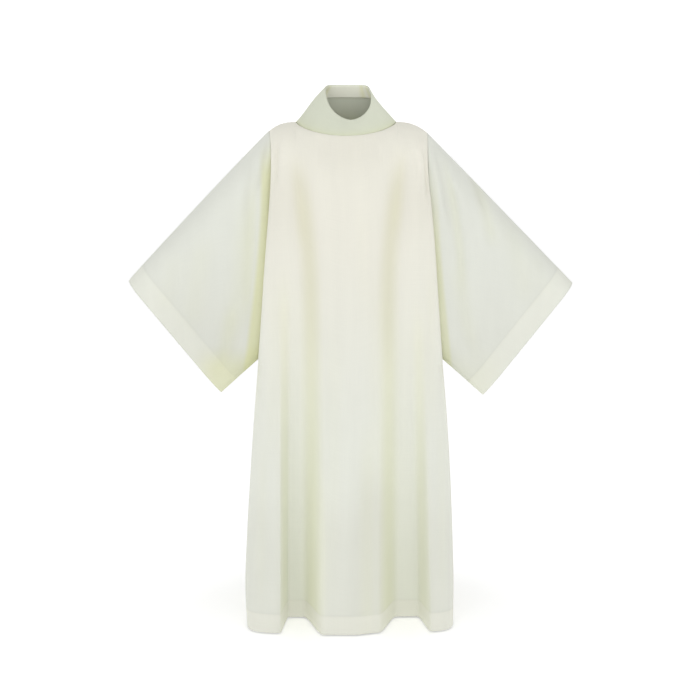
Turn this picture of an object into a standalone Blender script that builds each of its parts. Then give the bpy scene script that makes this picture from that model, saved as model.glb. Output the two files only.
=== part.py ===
"""Alb robe: a long straight body, wide flared sleeves and a funnel collar, filled out as if worn.

The front is at -Y, the viewer's left is at -X, and the origin is between the shoulders at the base
of the neck. Every piece is an open sheet of outer points with a Solidify wall turned inward, and
pieces that are sewn together share their seam points but for the seam gap.
"""

import math
from collections import namedtuple

import bpy

# Cloth, in metres
WALL = 0.002
SEAM_GAP = 0.0003

# Sides and faces: the sign of x and the sign of y
LEFT, RIGHT = -1, 1
FRONT, BACK = -1, 1

# Heights, measured down from the base of the neck
UNDERARM_Z = -0.611
HEM_Z = -1.300

# Neckline: where the collar is sewn to the front and the back
NECK_CENTRE_X = -0.010
NECK_HALF_WIDTH = 0.127
NECK_REACH = {FRONT: 0.095, BACK: 0.075}
NECK_RISE = {FRONT: -0.034, BACK: 0.006}
NECK_DIP_POWER = 1.4

# Collar rim: high and square at the back, dipping to a rounded point at the front. The collar
# stands a little further out on the left than on the right.
RIM_CENTRE_X = -0.0045
RIM_TWIST = 0.007
RIM_HALF_WIDTH = 0.0575
RIM_CENTRE_Y = 0.005
RIM_HALF_DEPTH = 0.055
RIM_BACK_Z = 0.0935
RIM_FRONT_Z = 0.005
RIM_TILT_POWER = 2.2
RIM_BACK_SQUARENESS = 1.2
RIM_FRONT_SQUARENESS = 0.5
RIM_FRONT_REACH = 6.0
COLLAR_SWELL = 0.0015
COLLAR_SWELL_POWER = 1.6
COLLAR_LEAN = -0.005

# Shoulders: each armhole's top point, and the round of the cloth over the shoulder
ARMHOLE_TOP = {LEFT: (-0.205, -0.022), RIGHT: (0.196, -0.027)}
SHOULDER_SLOPE_POWER = 2.4
SHOULDER_DROP = 0.085
COLUMN_SETTLE = 0.22

# Armholes: where the sleeve seam lies behind the fold at the panel's edge. It lies nearer the face
# of the cloth at the shoulder.
ARMHOLE_DEPTH = {FRONT: 0.060, BACK: 0.068}
SEAM_LIFT_TOP = 0.034
SEAM_LIFT_FOOT = 0.012
SEAM_LIFT_REACH = {LEFT: -0.24, RIGHT: -0.40}
ARMHOLE_FOOT = 0.14
ARMHOLE_FLARE_POWER = 1.6
ARMHOLE_TUCK = {LEFT: 0.015, RIGHT: 0.006}
ARMHOLE_TUCK_POWER = 0.6
EDGE_FOLD_OVERHANG = 0.010
EDGE_FOLD_POWER = 1.6

# Sleeves: the cuff's upper and lower corners in x and z, and the thickness of the hollow
CUFF_TOP = {LEFT: (-0.572, -0.403), RIGHT: (0.575, -0.408)}
CUFF_BOTTOM = {LEFT: (-0.339, -0.699), RIGHT: (0.350, -0.706)}
CUFF_HALF_THICKNESS = 0.036
CUFF_THINNING = 0.45
CUFF_CENTRE_Y = -0.015
SLEEVE_CROWN = {LEFT: 0.005, RIGHT: 0.001}
SLEEVE_CROWN_POWER = 0.45
SLEEVE_SWELL_TOP = 0.027
SLEEVE_SWELL_FOOT = 0.012
SLEEVE_SWELL_LIFTED = 0.8
SLEEVE_SWELL_RISE = 0.05
SLEEVE_SWELL_FULL = 0.15
SLEEVE_SWELL_END = 0.60

# Body outline by height: half widths, depths, and how square the section is
Ring = namedtuple("Ring", "z left right front back squareness")
BODY_RINGS = (
    Ring(z=-0.030, left=0.198, right=0.190, front=0.106, back=0.104, squareness=4.2),
    Ring(z=-0.150, left=0.202, right=0.196, front=0.122, back=0.123, squareness=4.6),
    Ring(z=-0.350, left=0.216, right=0.216, front=0.131, back=0.127, squareness=4.6),
    Ring(z=-0.611, left=0.239, right=0.241, front=0.140, back=0.130, squareness=4.4),
    Ring(z=-0.750, left=0.251, right=0.254, front=0.150, back=0.140, squareness=4.8),
    Ring(z=-0.900, left=0.262, right=0.264, front=0.161, back=0.150, squareness=5.4),
    Ring(z=-1.060, left=0.272, right=0.271, front=0.174, back=0.163, squareness=6.2),
    Ring(z=-1.220, left=0.277, right=0.275, front=0.188, back=0.175, squareness=7.4),
    Ring(z=-1.300, left=0.272, right=0.273, front=0.196, back=0.181, squareness=8.4),
)

# Hanging folds: each is a step that runs down the panel. Moving out from the middle of the panel,
# a main step goes back into the recess and an outer step comes forward to the side again.
STEP_HEIGHTS = (-0.10, -0.30, -0.70, -1.25)
Step = namedtuple("Step", "side way x_shoulder x_chest x_waist x_hem start depth half_top half_hem")
STEPS = {
    FRONT: (
        Step(LEFT, -1, -0.166, -0.166, -0.168, -0.173, -0.32, 0.102, 0.020, 0.009),
        Step(LEFT, 1, -0.125, -0.104, -0.096, -0.096, -0.05, 0.112, 0.024, 0.029),
        Step(RIGHT, 1, 0.120, 0.100, 0.098, 0.099, -0.04, 0.101, 0.024, 0.026),
        Step(RIGHT, -1, 0.166, 0.170, 0.180, 0.196, -0.40, 0.097, 0.020, 0.016),
    ),
    BACK: (
        Step(LEFT, -1, -0.164, -0.168, -0.178, -0.190, -0.44, 0.080, 0.020, 0.014),
        Step(LEFT, 1, -0.118, -0.104, -0.108, -0.118, -0.06, 0.092, 0.024, 0.024),
        Step(RIGHT, 1, 0.116, 0.096, 0.088, 0.080, -0.09, 0.086, 0.024, 0.026),
        Step(RIGHT, -1, 0.164, 0.164, 0.166, 0.168, -0.36, 0.078, 0.020, 0.012),
    ),
}
STEP_GROWTH = 1.35

# Shallow slope beside the middle of each panel, low down
Slope = namedtuple("Slope", "side x start depth half")
SLOPES = {
    FRONT: (Slope(side=RIGHT, x=0.047, start=-0.70, depth=0.014, half=0.026),),
    BACK: (Slope(side=LEFT, x=-0.030, start=-0.80, depth=0.012, half=0.028),),
}

# Folds that hang from the arm in the sleeves, as soft troughs between two points in x and z
Trough = namedtuple("Trough", "side face x_top z_top x_foot z_foot depth half")
TROUGHS = (
    Trough(RIGHT, FRONT, 0.232, -0.07, 0.300, -0.50, 0.010, 0.016),
    Trough(RIGHT, FRONT, 0.310, -0.12, 0.372, -0.36, 0.006, 0.020),
    Trough(LEFT, FRONT, -0.255, -0.20, -0.300, -0.58, 0.009, 0.020),
    Trough(LEFT, FRONT, -0.370, -0.30, -0.400, -0.56, 0.005, 0.026),
    Trough(RIGHT, BACK, 0.250, -0.10, 0.290, -0.54, 0.009, 0.018),
    Trough(RIGHT, BACK, 0.372, -0.26, 0.410, -0.52, 0.006, 0.024),
    Trough(LEFT, BACK, -0.242, -0.12, -0.310, -0.56, 0.010, 0.018),
    Trough(LEFT, BACK, -0.345, -0.22, -0.365, -0.50, 0.005, 0.022),
)

# Mesh lines down a panel, between one control line and the next: the side, then each step and gap
SIDE_COLUMNS = 8
STEP_COLUMNS = 4
RECESS_COLUMNS = 3
MIDDLE_COLUMNS = 8
INNER_COLUMNS = (
    STEP_COLUMNS,
    RECESS_COLUMNS,
    STEP_COLUMNS,
    MIDDLE_COLUMNS,
    STEP_COLUMNS,
    RECESS_COLUMNS,
    STEP_COLUMNS,
)
SHOULDER_COLUMNS = SIDE_COLUMNS + STEP_COLUMNS + RECESS_COLUMNS
NECK_COLUMNS = STEP_COLUMNS + MIDDLE_COLUMNS + STEP_COLUMNS

# Mesh rows: angles over the shoulder, then rows down to the underarm and from there to the hem
SHOULDER_ANGLES = (0, 4, 20, 37, 54, 72, 90)
ARMHOLE_ROWS = 8
ARMHOLE_ROW_CROWDING = 1.5
SKIRT_ROWS = 11
UNDERARM_ROW = len(SHOULDER_ANGLES) - 1 + ARMHOLE_ROWS

# Shares of the sleeve's length and of the collar's height where mesh rows lie
SLEEVE_SHARES = (0.0, 0.010, 0.045, 0.10, 0.17, 0.26, 0.37, 0.50, 0.63, 0.76, 0.88, 1.0)
COLLAR_SHARES = (0.0, 0.05, 0.25, 0.45, 0.64, 0.82, 1.0)

# The collar's inner layer lies behind its last rows of points and ends a little under the rim
FACING_ROWS = 3
FACING_DROP = 0.07

# Cloth colours, linear: the body in a warm ivory, the sleeves and collar a little cooler
BODY_COLOUR = (0.72, 0.74, 0.64, 1.0)
SLEEVE_COLOUR = (0.70, 0.73, 0.65, 1.0)
COLLAR_COLOUR = (0.74, 0.75, 0.66, 1.0)
CLOTH_ROUGHNESS = 0.85


def lerp(start, end, share):
    """The value this share of the way from start to end."""
    return start + (end - start) * share


def smooth(share):
    """An S curve from 0 to 1."""
    share = min(max(share, 0.0), 1.0)
    return share * share * (3.0 - 2.0 * share)


def hump(distance, half):
    """A round ridge that is 1 in the middle and dies away past its half width."""
    return math.exp(-((distance / half) ** 2))


def read_heights(heights, values, z):
    """The value at a height, straight between the heights given from the top down."""
    if z >= heights[0]:
        return values[0]
    for upper, lower, value, following in zip(heights, heights[1:], values, values[1:]):
        if z >= lower:
            return lerp(value, following, (z - upper) / (lower - upper))
    return values[-1]


def body_size(column, z):
    """One column of the body outline at a height."""
    heights = [ring.z for ring in BODY_RINGS]
    return read_heights(heights, [getattr(ring, column) for ring in BODY_RINGS], z)


def neck_point(angle):
    """The neckline at an angle: 0 is the middle front, 90 degrees the right shoulder."""
    face = FRONT if math.cos(angle) > 0 else BACK
    reach = abs(math.cos(angle))
    x = NECK_CENTRE_X + NECK_HALF_WIDTH * math.sin(angle)
    return (x, face * NECK_REACH[face] * reach, NECK_RISE[face] * reach**NECK_DIP_POWER)


def shoulder_point(side, share):
    """The shoulder seam, from the neckline at 0 to the armhole's top at 1."""
    top_x, top_z = ARMHOLE_TOP[side]
    neck_x = neck_point(side * math.pi / 2)[0]
    return (lerp(neck_x, top_x, share), 0.0, top_z * share**SHOULDER_SLOPE_POWER)


def armhole_share(side, z):
    """How far down the armhole a height lies."""
    top_z = ARMHOLE_TOP[side][1]
    return min(max((top_z - z) / (top_z - UNDERARM_Z), 0.0), 1.0)


def edge_x(side, z):
    """The panel's side edge: the armhole seam, and the side seam under it."""
    if z < UNDERARM_Z:
        return side * body_size("left" if side == LEFT else "right", z)
    underarm_x = side * body_size("left" if side == LEFT else "right", UNDERARM_Z)
    share = armhole_share(side, z)
    tuck = ARMHOLE_TUCK[side] * math.sin(math.pi * share**ARMHOLE_TUCK_POWER)
    return lerp(ARMHOLE_TOP[side][0], underarm_x, share**ARMHOLE_FLARE_POWER) - side * tuck


def seam_lift(side, z):
    """How much nearer the face of the cloth the armhole seam lies than its full depth."""
    return lerp(SEAM_LIFT_TOP, SEAM_LIFT_FOOT, smooth(z / SEAM_LIFT_REACH[side]))


def edge_y(side, face, z):
    """How far forward or back the panel's side edge lies: the side seam runs down the middle."""
    if z <= UNDERARM_Z:
        return 0.0
    foot = max(1.0 - (z - UNDERARM_Z) / ARMHOLE_FOOT, 0.0)
    return face * (ARMHOLE_DEPTH[face] + seam_lift(side, z)) * math.sqrt(1.0 - foot**2)


def step_x(step, z):
    """Where a step lies at a height."""
    places = (step.x_shoulder, step.x_chest, step.x_waist, step.x_hem)
    return read_heights(STEP_HEIGHTS, places, z)


def step_half(step, z):
    """Half the width of a step's slope at a height."""
    return lerp(step.half_top, step.half_hem, smooth(z / HEM_Z))


def growth(start, z):
    """How much of its depth at the hem a fold has at a height: none above its start."""
    return min(max((start - z) / (start - HEM_Z), 0.0), 1.0) ** STEP_GROWTH


def fold_offset(face, x, z):
    """How far the folds set the panel back toward the middle of the body."""
    offset = 0.0
    for step in STEPS[face]:
        outward = step.side * (x - step_x(step, z)) / step_half(step, z)
        offset += step.way * step.depth * growth(step.start, z) * smooth(0.5 + 0.5 * outward)
    for slope in SLOPES[face]:
        outward = slope.side * (x - slope.x) / slope.half
        offset += slope.depth * growth(slope.start, z) * smooth(0.5 + 0.5 * outward)
    return offset


def panel_surface(face, x, z):
    """A panel's outer point at x and height: a square-shouldered oval with the folds set into it."""
    side = LEFT if x < 0 else RIGHT
    share = min(abs(x / edge_x(side, z)), 1.0)
    squareness = body_size("squareness", z)
    fullness = (1.0 - share**squareness) ** (1.0 / squareness)
    edge = edge_y(side, face, z)
    reach = body_size("front" if face == FRONT else "back", z)
    y = lerp(edge, face * (reach - fold_offset(face, x, z)), fullness)
    overhang = 0.0
    if z > UNDERARM_Z:
        overhang = EDGE_FOLD_OVERHANG * math.sin(math.pi * armhole_share(side, z)) ** EDGE_FOLD_POWER
    return (x + side * overhang * 4.0 * fullness * (1.0 - fullness), y, z)


def control_lines(face, z):
    """The x of each control line across a panel at a height, from the left edge to the right."""
    lines = [edge_x(LEFT, z)]
    for step in STEPS[face]:
        half = step_half(step, z)
        lines += [step_x(step, z) - half, step_x(step, z) + half]
    return lines + [edge_x(RIGHT, z)]


def side_spacing(inner, outer, count, squareness):
    """The x of the lines from the outermost step to the edge, closer where the side turns round."""
    start = math.asin((inner / outer) ** (squareness / 2.0))
    places = []
    for index in range(count + 1):
        share = 1.0 - (1.0 - index / count) ** 2
        places.append(outer * math.sin(lerp(start, math.pi / 2, share)) ** (2.0 / squareness))
    return places


def column_places(face, z):
    """The x of every mesh line across a panel at a height."""
    lines = control_lines(face, z)
    squareness = body_size("squareness", z)
    left = side_spacing(lines[1], lines[0], SIDE_COLUMNS, squareness)
    right = side_spacing(lines[-2], lines[-1], SIDE_COLUMNS, squareness)
    places = left[::-1]
    for start, end, count in zip(lines[1:-2], lines[2:-1], INNER_COLUMNS):
        places += [lerp(start, end, (index + 1) / count) for index in range(count)]
    return places + right[1:]


def top_edge(face):
    """A panel's top edge: left shoulder seam, neckline and right shoulder seam."""
    left = [shoulder_point(LEFT, 1.0 - i / SHOULDER_COLUMNS) for i in range(SHOULDER_COLUMNS)]
    right = [shoulder_point(RIGHT, (i + 1) / SHOULDER_COLUMNS) for i in range(SHOULDER_COLUMNS)]
    turn = math.pi / NECK_COLUMNS
    neck = []
    for index in range(NECK_COLUMNS + 1):
        angle = -math.pi / 2 + index * turn
        neck.append(neck_point(angle if face == FRONT else math.pi - angle))
    return left + neck + right


def panel_rows(face):
    """A panel's outer points, a list of rows from the top edge to the hem."""
    top = top_edge(face)
    rows = []
    for angle in SHOULDER_ANGLES:
        turn = math.radians(angle)
        rows.append([panel_top_point(face, top, c, turn) for c in range(len(top))])
    lowest = [point[2] for point in rows[-1]]
    for index in range(ARMHOLE_ROWS):
        share = 1.0 - (1.0 - (index + 1) / ARMHOLE_ROWS) ** ARMHOLE_ROW_CROWDING
        row = []
        for column, start_z in enumerate(lowest):
            z = lerp(start_z, UNDERARM_Z, share)
            row.append(panel_surface(face, settled_x(face, top, column, z), z))
        rows.append(row)
    for index in range(SKIRT_ROWS):
        z = lerp(UNDERARM_Z, HEM_Z, (index + 1) / SKIRT_ROWS)
        rows.append([panel_surface(face, x, z) for x in column_places(face, z)])
    return [[seam_eased(face, point) for point in row] for row in rows]


def settled_x(face, top, column, z):
    """A mesh line leaves its place on the top edge and settles on its place across the panel."""
    side = LEFT if column < len(top) / 2 else RIGHT
    edge = edge_x(side, z)
    top_x, _, top_z = top[column]
    start = top_x / edge_x(side, top_z)
    place = column_places(face, z)[column] / edge
    return edge * lerp(start, place, smooth((top_z - z) / COLUMN_SETTLE))


def panel_top_point(face, top, column, turn):
    """A point where the cloth rounds over the shoulder, from level at the seam to hanging."""
    _, top_y, top_z = top[column]
    z = top_z - SHOULDER_DROP * (1.0 - math.cos(turn))
    x, y, _ = panel_surface(face, settled_x(face, top, column, z), z)
    return (x, lerp(top_y, y, math.sin(turn)), z)


def seam_eased(face, point):
    """Keeps half the seam gap between the front and the back."""
    x, y, z = point
    half_gap = SEAM_GAP / 2
    return (x, min(y, -half_gap) if face == FRONT else max(y, half_gap), z)


def armhole_ring(side):
    """The armhole's points, down the front and up the back, with the share of the way down."""
    column = 0 if side == LEFT else -1
    edges = {face: [row[column] for row in panel_rows(face)] for face in (FRONT, BACK)}
    down = [(FRONT, edges[FRONT][row]) for row in range(UNDERARM_ROW + 1)]
    up = [(BACK, edges[BACK][row]) for row in range(UNDERARM_ROW - 1, 0, -1)]
    ring = []
    for face, (x, y, z) in down + up:
        at_end = z == edges[face][0][2] or z == edges[face][UNDERARM_ROW][2]
        ring.append((face, (x + side * SEAM_GAP, 0.0 if at_end else y, z)))
    return ring


def trough_offset(side, face, x, z):
    """How far the folds that hang from the arm set the sleeve's face in."""
    offset = 0.0
    for trough in TROUGHS:
        if (trough.side, trough.face) != (side, face):
            continue
        share = (z - trough.z_top) / (trough.z_foot - trough.z_top)
        fade = smooth(4.0 * share) * smooth(4.0 * (1.0 - share))
        line_x = lerp(trough.x_top, trough.x_foot, share)
        offset += trough.depth * fade * hump(x - line_x, trough.half)
    return offset


def sleeve_point(side, face, start, share):
    """A point of the sleeve on the line from its armhole point to the cuff."""
    x, y, z = start
    down = armhole_share(side, z)
    lift = seam_lift(side, z)
    roundness = abs(y) / (ARMHOLE_DEPTH[face] + lift)
    top_x, top_z = CUFF_TOP[side]
    foot_x, foot_z = CUFF_BOTTOM[side]
    thickness = CUFF_HALF_THICKNESS * (1.0 - CUFF_THINNING * down) * roundness
    cuff_x = lerp(top_x, foot_x, down)
    cuff_z = lerp(top_z, foot_z, down)
    crown = SLEEVE_CROWN[side] * math.sin(math.pi * share) ** SLEEVE_CROWN_POWER * (1.0 - down)
    rise = 1.0 - math.exp(-share / SLEEVE_SWELL_RISE)
    fall = smooth((share - SLEEVE_SWELL_FULL) / (SLEEVE_SWELL_END - SLEEVE_SWELL_FULL))
    fill = lerp(SLEEVE_SWELL_TOP, SLEEVE_SWELL_FOOT, smooth(down)) - SLEEVE_SWELL_LIFTED * lift
    swell = fill * rise * (1.0 - fall) * roundness
    x = lerp(x, cuff_x, share)
    z = lerp(z, cuff_z, share) + crown
    y = lerp(y, CUFF_CENTRE_Y + face * thickness, share) + face * swell
    return (x, y - face * trough_offset(side, face, x, z) * roundness, z)


def sleeve_rows(side):
    """A sleeve's outer points, a ring for each share of its length."""
    ring = armhole_ring(side)
    return [[sleeve_point(side, face, start, s) for face, start in ring] for s in SLEEVE_SHARES]


def rim_point(angle):
    """The collar's rim at an angle: 0 is the middle front."""
    forward = (1.0 + math.cos(angle)) / 2.0
    square = lerp(RIM_BACK_SQUARENESS, RIM_FRONT_SQUARENESS, forward**RIM_FRONT_REACH)
    sweep = math.tanh(square * math.sin(angle)) / math.tanh(square)
    x = RIM_CENTRE_X + RIM_TWIST * math.cos(angle) + RIM_HALF_WIDTH * sweep
    y = RIM_CENTRE_Y - RIM_HALF_DEPTH * math.cos(angle)
    return (x, y, lerp(RIM_BACK_Z, RIM_FRONT_Z, forward**RIM_TILT_POWER))


def collar_point(angle, share):
    """The collar's outer point: straight from the neckline to the rim, a little full near the rim."""
    base = neck_point(angle)
    rim = rim_point(angle)
    belly = math.sin(math.pi * share**COLLAR_SWELL_POWER)
    swell = COLLAR_SWELL * belly
    x = lerp(base[0], rim[0], share) + swell * math.sin(angle) + COLLAR_LEAN * belly
    y = lerp(base[1], rim[1], share) - swell * math.cos(angle)
    return (x, y, lerp(base[2] + SEAM_GAP, rim[2], share))


def collar_angles():
    """The angles of the collar's mesh lines, which meet those of the panels at the neckline."""
    count = 2 * NECK_COLUMNS
    return [-math.pi / 2 + 2 * math.pi * index / count for index in range(count)]


def collar_rows():
    """The collar's outer points, from the neckline up to the rim."""
    return [[collar_point(angle, share) for angle in collar_angles()] for share in COLLAR_SHARES]


def facing_rows():
    """The inner layer of the collar: its upper rows moved in, the last one let down from the rim."""
    outer = collar_rows()
    rows = []
    for row in range(len(outer) - FACING_ROWS, len(outer)):
        rows.append([inset_point(outer, row, column) for column in range(len(outer[0]))])
    top = [
        tuple(lerp(value, below, FACING_DROP) for value, below in zip(point, under))
        for point, under in zip(rows[-1], rows[-2])
    ]
    return rows[:-1] + [top]


def inset_point(rows, row, column):
    """A point of the collar moved in by the wall and the gap."""
    above = rows[min(row + 1, len(rows) - 1)][column]
    below = rows[row - 1][column]
    following = rows[row][(column + 1) % len(rows[row])]
    previous = rows[row][column - 1]
    inward = unit(cross(difference(above, below), difference(following, previous)))
    inset = WALL + SEAM_GAP
    return tuple(value + inset * part for value, part in zip(rows[row][column], inward))


def difference(end, start):
    """The vector from start to end."""
    return tuple(b - a for a, b in zip(start, end))


def cross(first, second):
    """The cross product of two vectors."""
    return (
        first[1] * second[2] - first[2] * second[1],
        first[2] * second[0] - first[0] * second[2],
        first[0] * second[1] - first[1] * second[0],
    )


def unit(vector):
    """The vector at a length of 1."""
    length = math.sqrt(sum(value * value for value in vector))
    return tuple(value / length for value in vector)


def cloth_material(name, colour):
    """A plain woven cloth."""
    material = bpy.data.materials.new(name)
    material.use_nodes = True
    shader = material.node_tree.nodes["Principled BSDF"]
    shader.inputs["Base Color"].default_value = colour
    shader.inputs["Roughness"].default_value = CLOTH_ROUGHNESS
    shader.inputs["Metallic"].default_value = 0.0
    return material


def sheet(name, rows, closed, flipped, colour, collection):
    """A piece of cloth through rows of outer points, with a wall turned inward."""
    width = len(rows[0])
    points = [point for row in rows for point in row]
    spans = width if closed else width - 1
    faces = []
    for row in range(len(rows) - 1):
        for column in range(spans):
            following = (column + 1) % width
            corners = (
                row * width + column,
                (row + 1) * width + column,
                (row + 1) * width + following,
                row * width + following,
            )
            faces.append(corners[::-1] if flipped else corners)
    mesh = bpy.data.meshes.new(name)
    mesh.from_pydata(points, [], faces)
    mesh.shade_smooth()
    mesh.materials.append(cloth_material(name + "_cloth", colour))
    piece = bpy.data.objects.new(name, mesh)
    wall = piece.modifiers.new("Wall", "SOLIDIFY")
    wall.thickness = WALL
    wall.offset = -1.0
    wall.use_even_offset = True
    collection.objects.link(piece)
    return piece


def clear_scene():
    """Removes what the scene holds."""
    for item in list(bpy.data.objects):
        bpy.data.objects.remove(item, do_unlink=True)


def main():
    """Builds the robe's six pieces."""
    clear_scene()
    robe = bpy.data.collections.new("alb_robe")
    bpy.context.scene.collection.children.link(robe)
    sheet("front_panel", panel_rows(FRONT), False, False, BODY_COLOUR, robe)
    sheet("back_panel", panel_rows(BACK), False, True, BODY_COLOUR, robe)
    sheet("sleeve_left", sleeve_rows(LEFT), True, False, SLEEVE_COLOUR, robe)
    sheet("sleeve_right", sleeve_rows(RIGHT), True, True, SLEEVE_COLOUR, robe)
    sheet("collar", collar_rows(), True, True, COLLAR_COLOUR, robe)
    sheet("collar_facing", facing_rows(), True, True, COLLAR_COLOUR, robe)


main()
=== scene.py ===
"""Alb robe: the cloth, its hems, seams and stitching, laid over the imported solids.

Every piece is a fine sheet on the form of its solid. The front is at -Y, the viewer's left is at -X,
and the origin is between the shoulders at the base of the neck. All sizes are in metres.
"""

import math
from collections import namedtuple

import bpy
import numpy as np
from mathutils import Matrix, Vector


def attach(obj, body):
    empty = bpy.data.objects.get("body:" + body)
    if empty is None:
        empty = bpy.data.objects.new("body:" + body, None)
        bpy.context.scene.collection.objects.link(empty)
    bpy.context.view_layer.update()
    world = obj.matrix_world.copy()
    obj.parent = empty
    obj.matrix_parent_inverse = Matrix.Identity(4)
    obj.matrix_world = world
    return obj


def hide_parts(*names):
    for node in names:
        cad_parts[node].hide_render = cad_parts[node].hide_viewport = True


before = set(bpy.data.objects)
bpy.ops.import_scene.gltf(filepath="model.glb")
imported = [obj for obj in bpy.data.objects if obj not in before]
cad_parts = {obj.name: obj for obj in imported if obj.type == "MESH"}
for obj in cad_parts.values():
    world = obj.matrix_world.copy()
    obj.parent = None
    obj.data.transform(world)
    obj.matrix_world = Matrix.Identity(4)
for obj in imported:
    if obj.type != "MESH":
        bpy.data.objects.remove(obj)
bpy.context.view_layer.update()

bl_info = {
    "name": "Alb robe",
    "version": (1, 0, 0),
    "blender": (4, 5, 0),
    "location": "3D View > Sidebar > Alb Robe",
    "description": "Builds the cloth, hems, seams and stitching of a wide-sleeved alb",
    "category": "Object",
}

# Sides and faces: the sign of x and the sign of y
LEFT, RIGHT = -1, 1
FRONT, BACK = -1, 1
FACE_NAMES = {FRONT: "front", BACK: "back"}
SIDE_NAMES = {LEFT: "left", RIGHT: "right"}
SEAM_GAP = 0.0001

# Heights, and the neckline
UNDERARM_Z = -0.611
HEM_Z = -1.300
NECK_CENTRE_X = -0.010
NECK_HALF_WIDTH = 0.127
NECK_REACH = {FRONT: 0.095, BACK: 0.075}
NECK_RISE = {FRONT: -0.034, BACK: 0.006}
NECK_DIP_POWER = 1.4

# Collar rim: high and square at the back, dipping to a rounded point at the front
RIM_CENTRE_X = -0.0045
RIM_TWIST = 0.007
RIM_HALF_WIDTH = 0.0575
RIM_CENTRE_Y = 0.005
RIM_HALF_DEPTH = 0.055
RIM_BACK_Z = 0.0935
RIM_FRONT_Z = 0.005
RIM_TILT_POWER = 2.2
RIM_BACK_SQUARENESS = 1.2
RIM_FRONT_SQUARENESS = 0.5
RIM_FRONT_REACH = 6.0
COLLAR_SWELL = 0.0015
COLLAR_SWELL_POWER = 1.6
COLLAR_LEAN = -0.005

# Shoulders and armholes
ARMHOLE_TOP = {LEFT: (-0.205, -0.022), RIGHT: (0.196, -0.027)}
SHOULDER_SLOPE_POWER = 2.4
SHOULDER_DROP = 0.085
COLUMN_SETTLE = 0.22
ARMHOLE_DEPTH = {FRONT: 0.060, BACK: 0.068}
ARMHOLE_FOOT = 0.14
SEAM_LIFT_TOP = 0.034
SEAM_LIFT_FOOT = 0.012
SEAM_LIFT_REACH = {LEFT: -0.24, RIGHT: -0.40}
ARMHOLE_FLARE_POWER = 1.6
ARMHOLE_TUCK = {LEFT: 0.015, RIGHT: 0.006}
ARMHOLE_TUCK_POWER = 0.6
ARMHOLE_SOFTENING = 0.12
ARMHOLE_SOFT_START = 0.35
SEAM_SHAPE_REACH = 0.014
EDGE_FOLD_OVERHANG = 0.010
EDGE_FOLD_POWER = 1.6

# Sleeves: the cuff's upper and lower corners in x and z, and the hollow's thickness
CUFF_TOP = {LEFT: (-0.572, -0.403), RIGHT: (0.575, -0.408)}
CUFF_BOTTOM = {LEFT: (-0.339, -0.699), RIGHT: (0.350, -0.706)}
CUFF_HALF_THICKNESS = 0.036
CUFF_THINNING = 0.45
CUFF_CENTRE_Y = -0.015
SLEEVE_CROWN = {LEFT: 0.005, RIGHT: 0.001}
SLEEVE_CROWN_POWER = 0.45
SLEEVE_SWELL_TOP = 0.027
SLEEVE_SWELL_FOOT = 0.012
SLEEVE_SWELL_LIFTED = 0.8
SLEEVE_SWELL_RISE = 0.05
SLEEVE_SWELL_FULL = 0.15
SLEEVE_SWELL_END = 0.60

# Body outline by height: half widths, depths, and how square the section is
Ring = namedtuple("Ring", "z left right front back squareness")
BODY_RINGS = (
    Ring(z=-0.030, left=0.198, right=0.190, front=0.106, back=0.104, squareness=4.2),
    Ring(z=-0.150, left=0.202, right=0.196, front=0.122, back=0.123, squareness=4.6),
    Ring(z=-0.350, left=0.216, right=0.216, front=0.131, back=0.127, squareness=4.6),
    Ring(z=-0.611, left=0.239, right=0.241, front=0.140, back=0.130, squareness=4.4),
    Ring(z=-0.750, left=0.251, right=0.254, front=0.150, back=0.140, squareness=4.8),
    Ring(z=-0.900, left=0.262, right=0.264, front=0.161, back=0.150, squareness=5.4),
    Ring(z=-1.060, left=0.272, right=0.271, front=0.174, back=0.163, squareness=6.2),
    Ring(z=-1.220, left=0.277, right=0.275, front=0.188, back=0.175, squareness=7.4),
    Ring(z=-1.300, left=0.272, right=0.273, front=0.196, back=0.181, squareness=8.4),
)

# Hanging folds: steps that run down a panel, back into a recess and forward again. Going outward, the
# cloth steps back where way is 1 and forward where it is -1.
STEP_HEIGHTS = (-0.10, -0.30, -0.70, -1.25)
Step = namedtuple("Step", "side way x_shoulder x_chest x_waist x_hem start depth half_top half_hem")
STEPS = {
    FRONT: (
        Step(LEFT, -1, -0.166, -0.166, -0.168, -0.173, -0.32, 0.102, 0.020, 0.009),
        Step(LEFT, 1, -0.125, -0.104, -0.096, -0.096, -0.05, 0.112, 0.024, 0.029),
        Step(RIGHT, 1, 0.120, 0.100, 0.098, 0.099, -0.04, 0.101, 0.024, 0.026),
        Step(RIGHT, -1, 0.166, 0.170, 0.180, 0.196, -0.40, 0.097, 0.020, 0.016),
    ),
    BACK: (
        Step(LEFT, -1, -0.164, -0.168, -0.178, -0.190, -0.44, 0.080, 0.020, 0.014),
        Step(LEFT, 1, -0.118, -0.104, -0.108, -0.118, -0.06, 0.092, 0.024, 0.024),
        Step(RIGHT, 1, 0.116, 0.096, 0.088, 0.080, -0.09, 0.086, 0.024, 0.026),
        Step(RIGHT, -1, 0.164, 0.164, 0.166, 0.168, -0.36, 0.078, 0.020, 0.012),
    ),
}
STEP_GROWTH = 1.35
Slope = namedtuple("Slope", "side x start depth half")
SLOPES = {
    FRONT: (Slope(side=RIGHT, x=0.045, start=-0.70, depth=0.014, half=0.034),),
    BACK: (Slope(side=LEFT, x=-0.030, start=-0.80, depth=0.012, half=0.028),),
}

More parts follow.
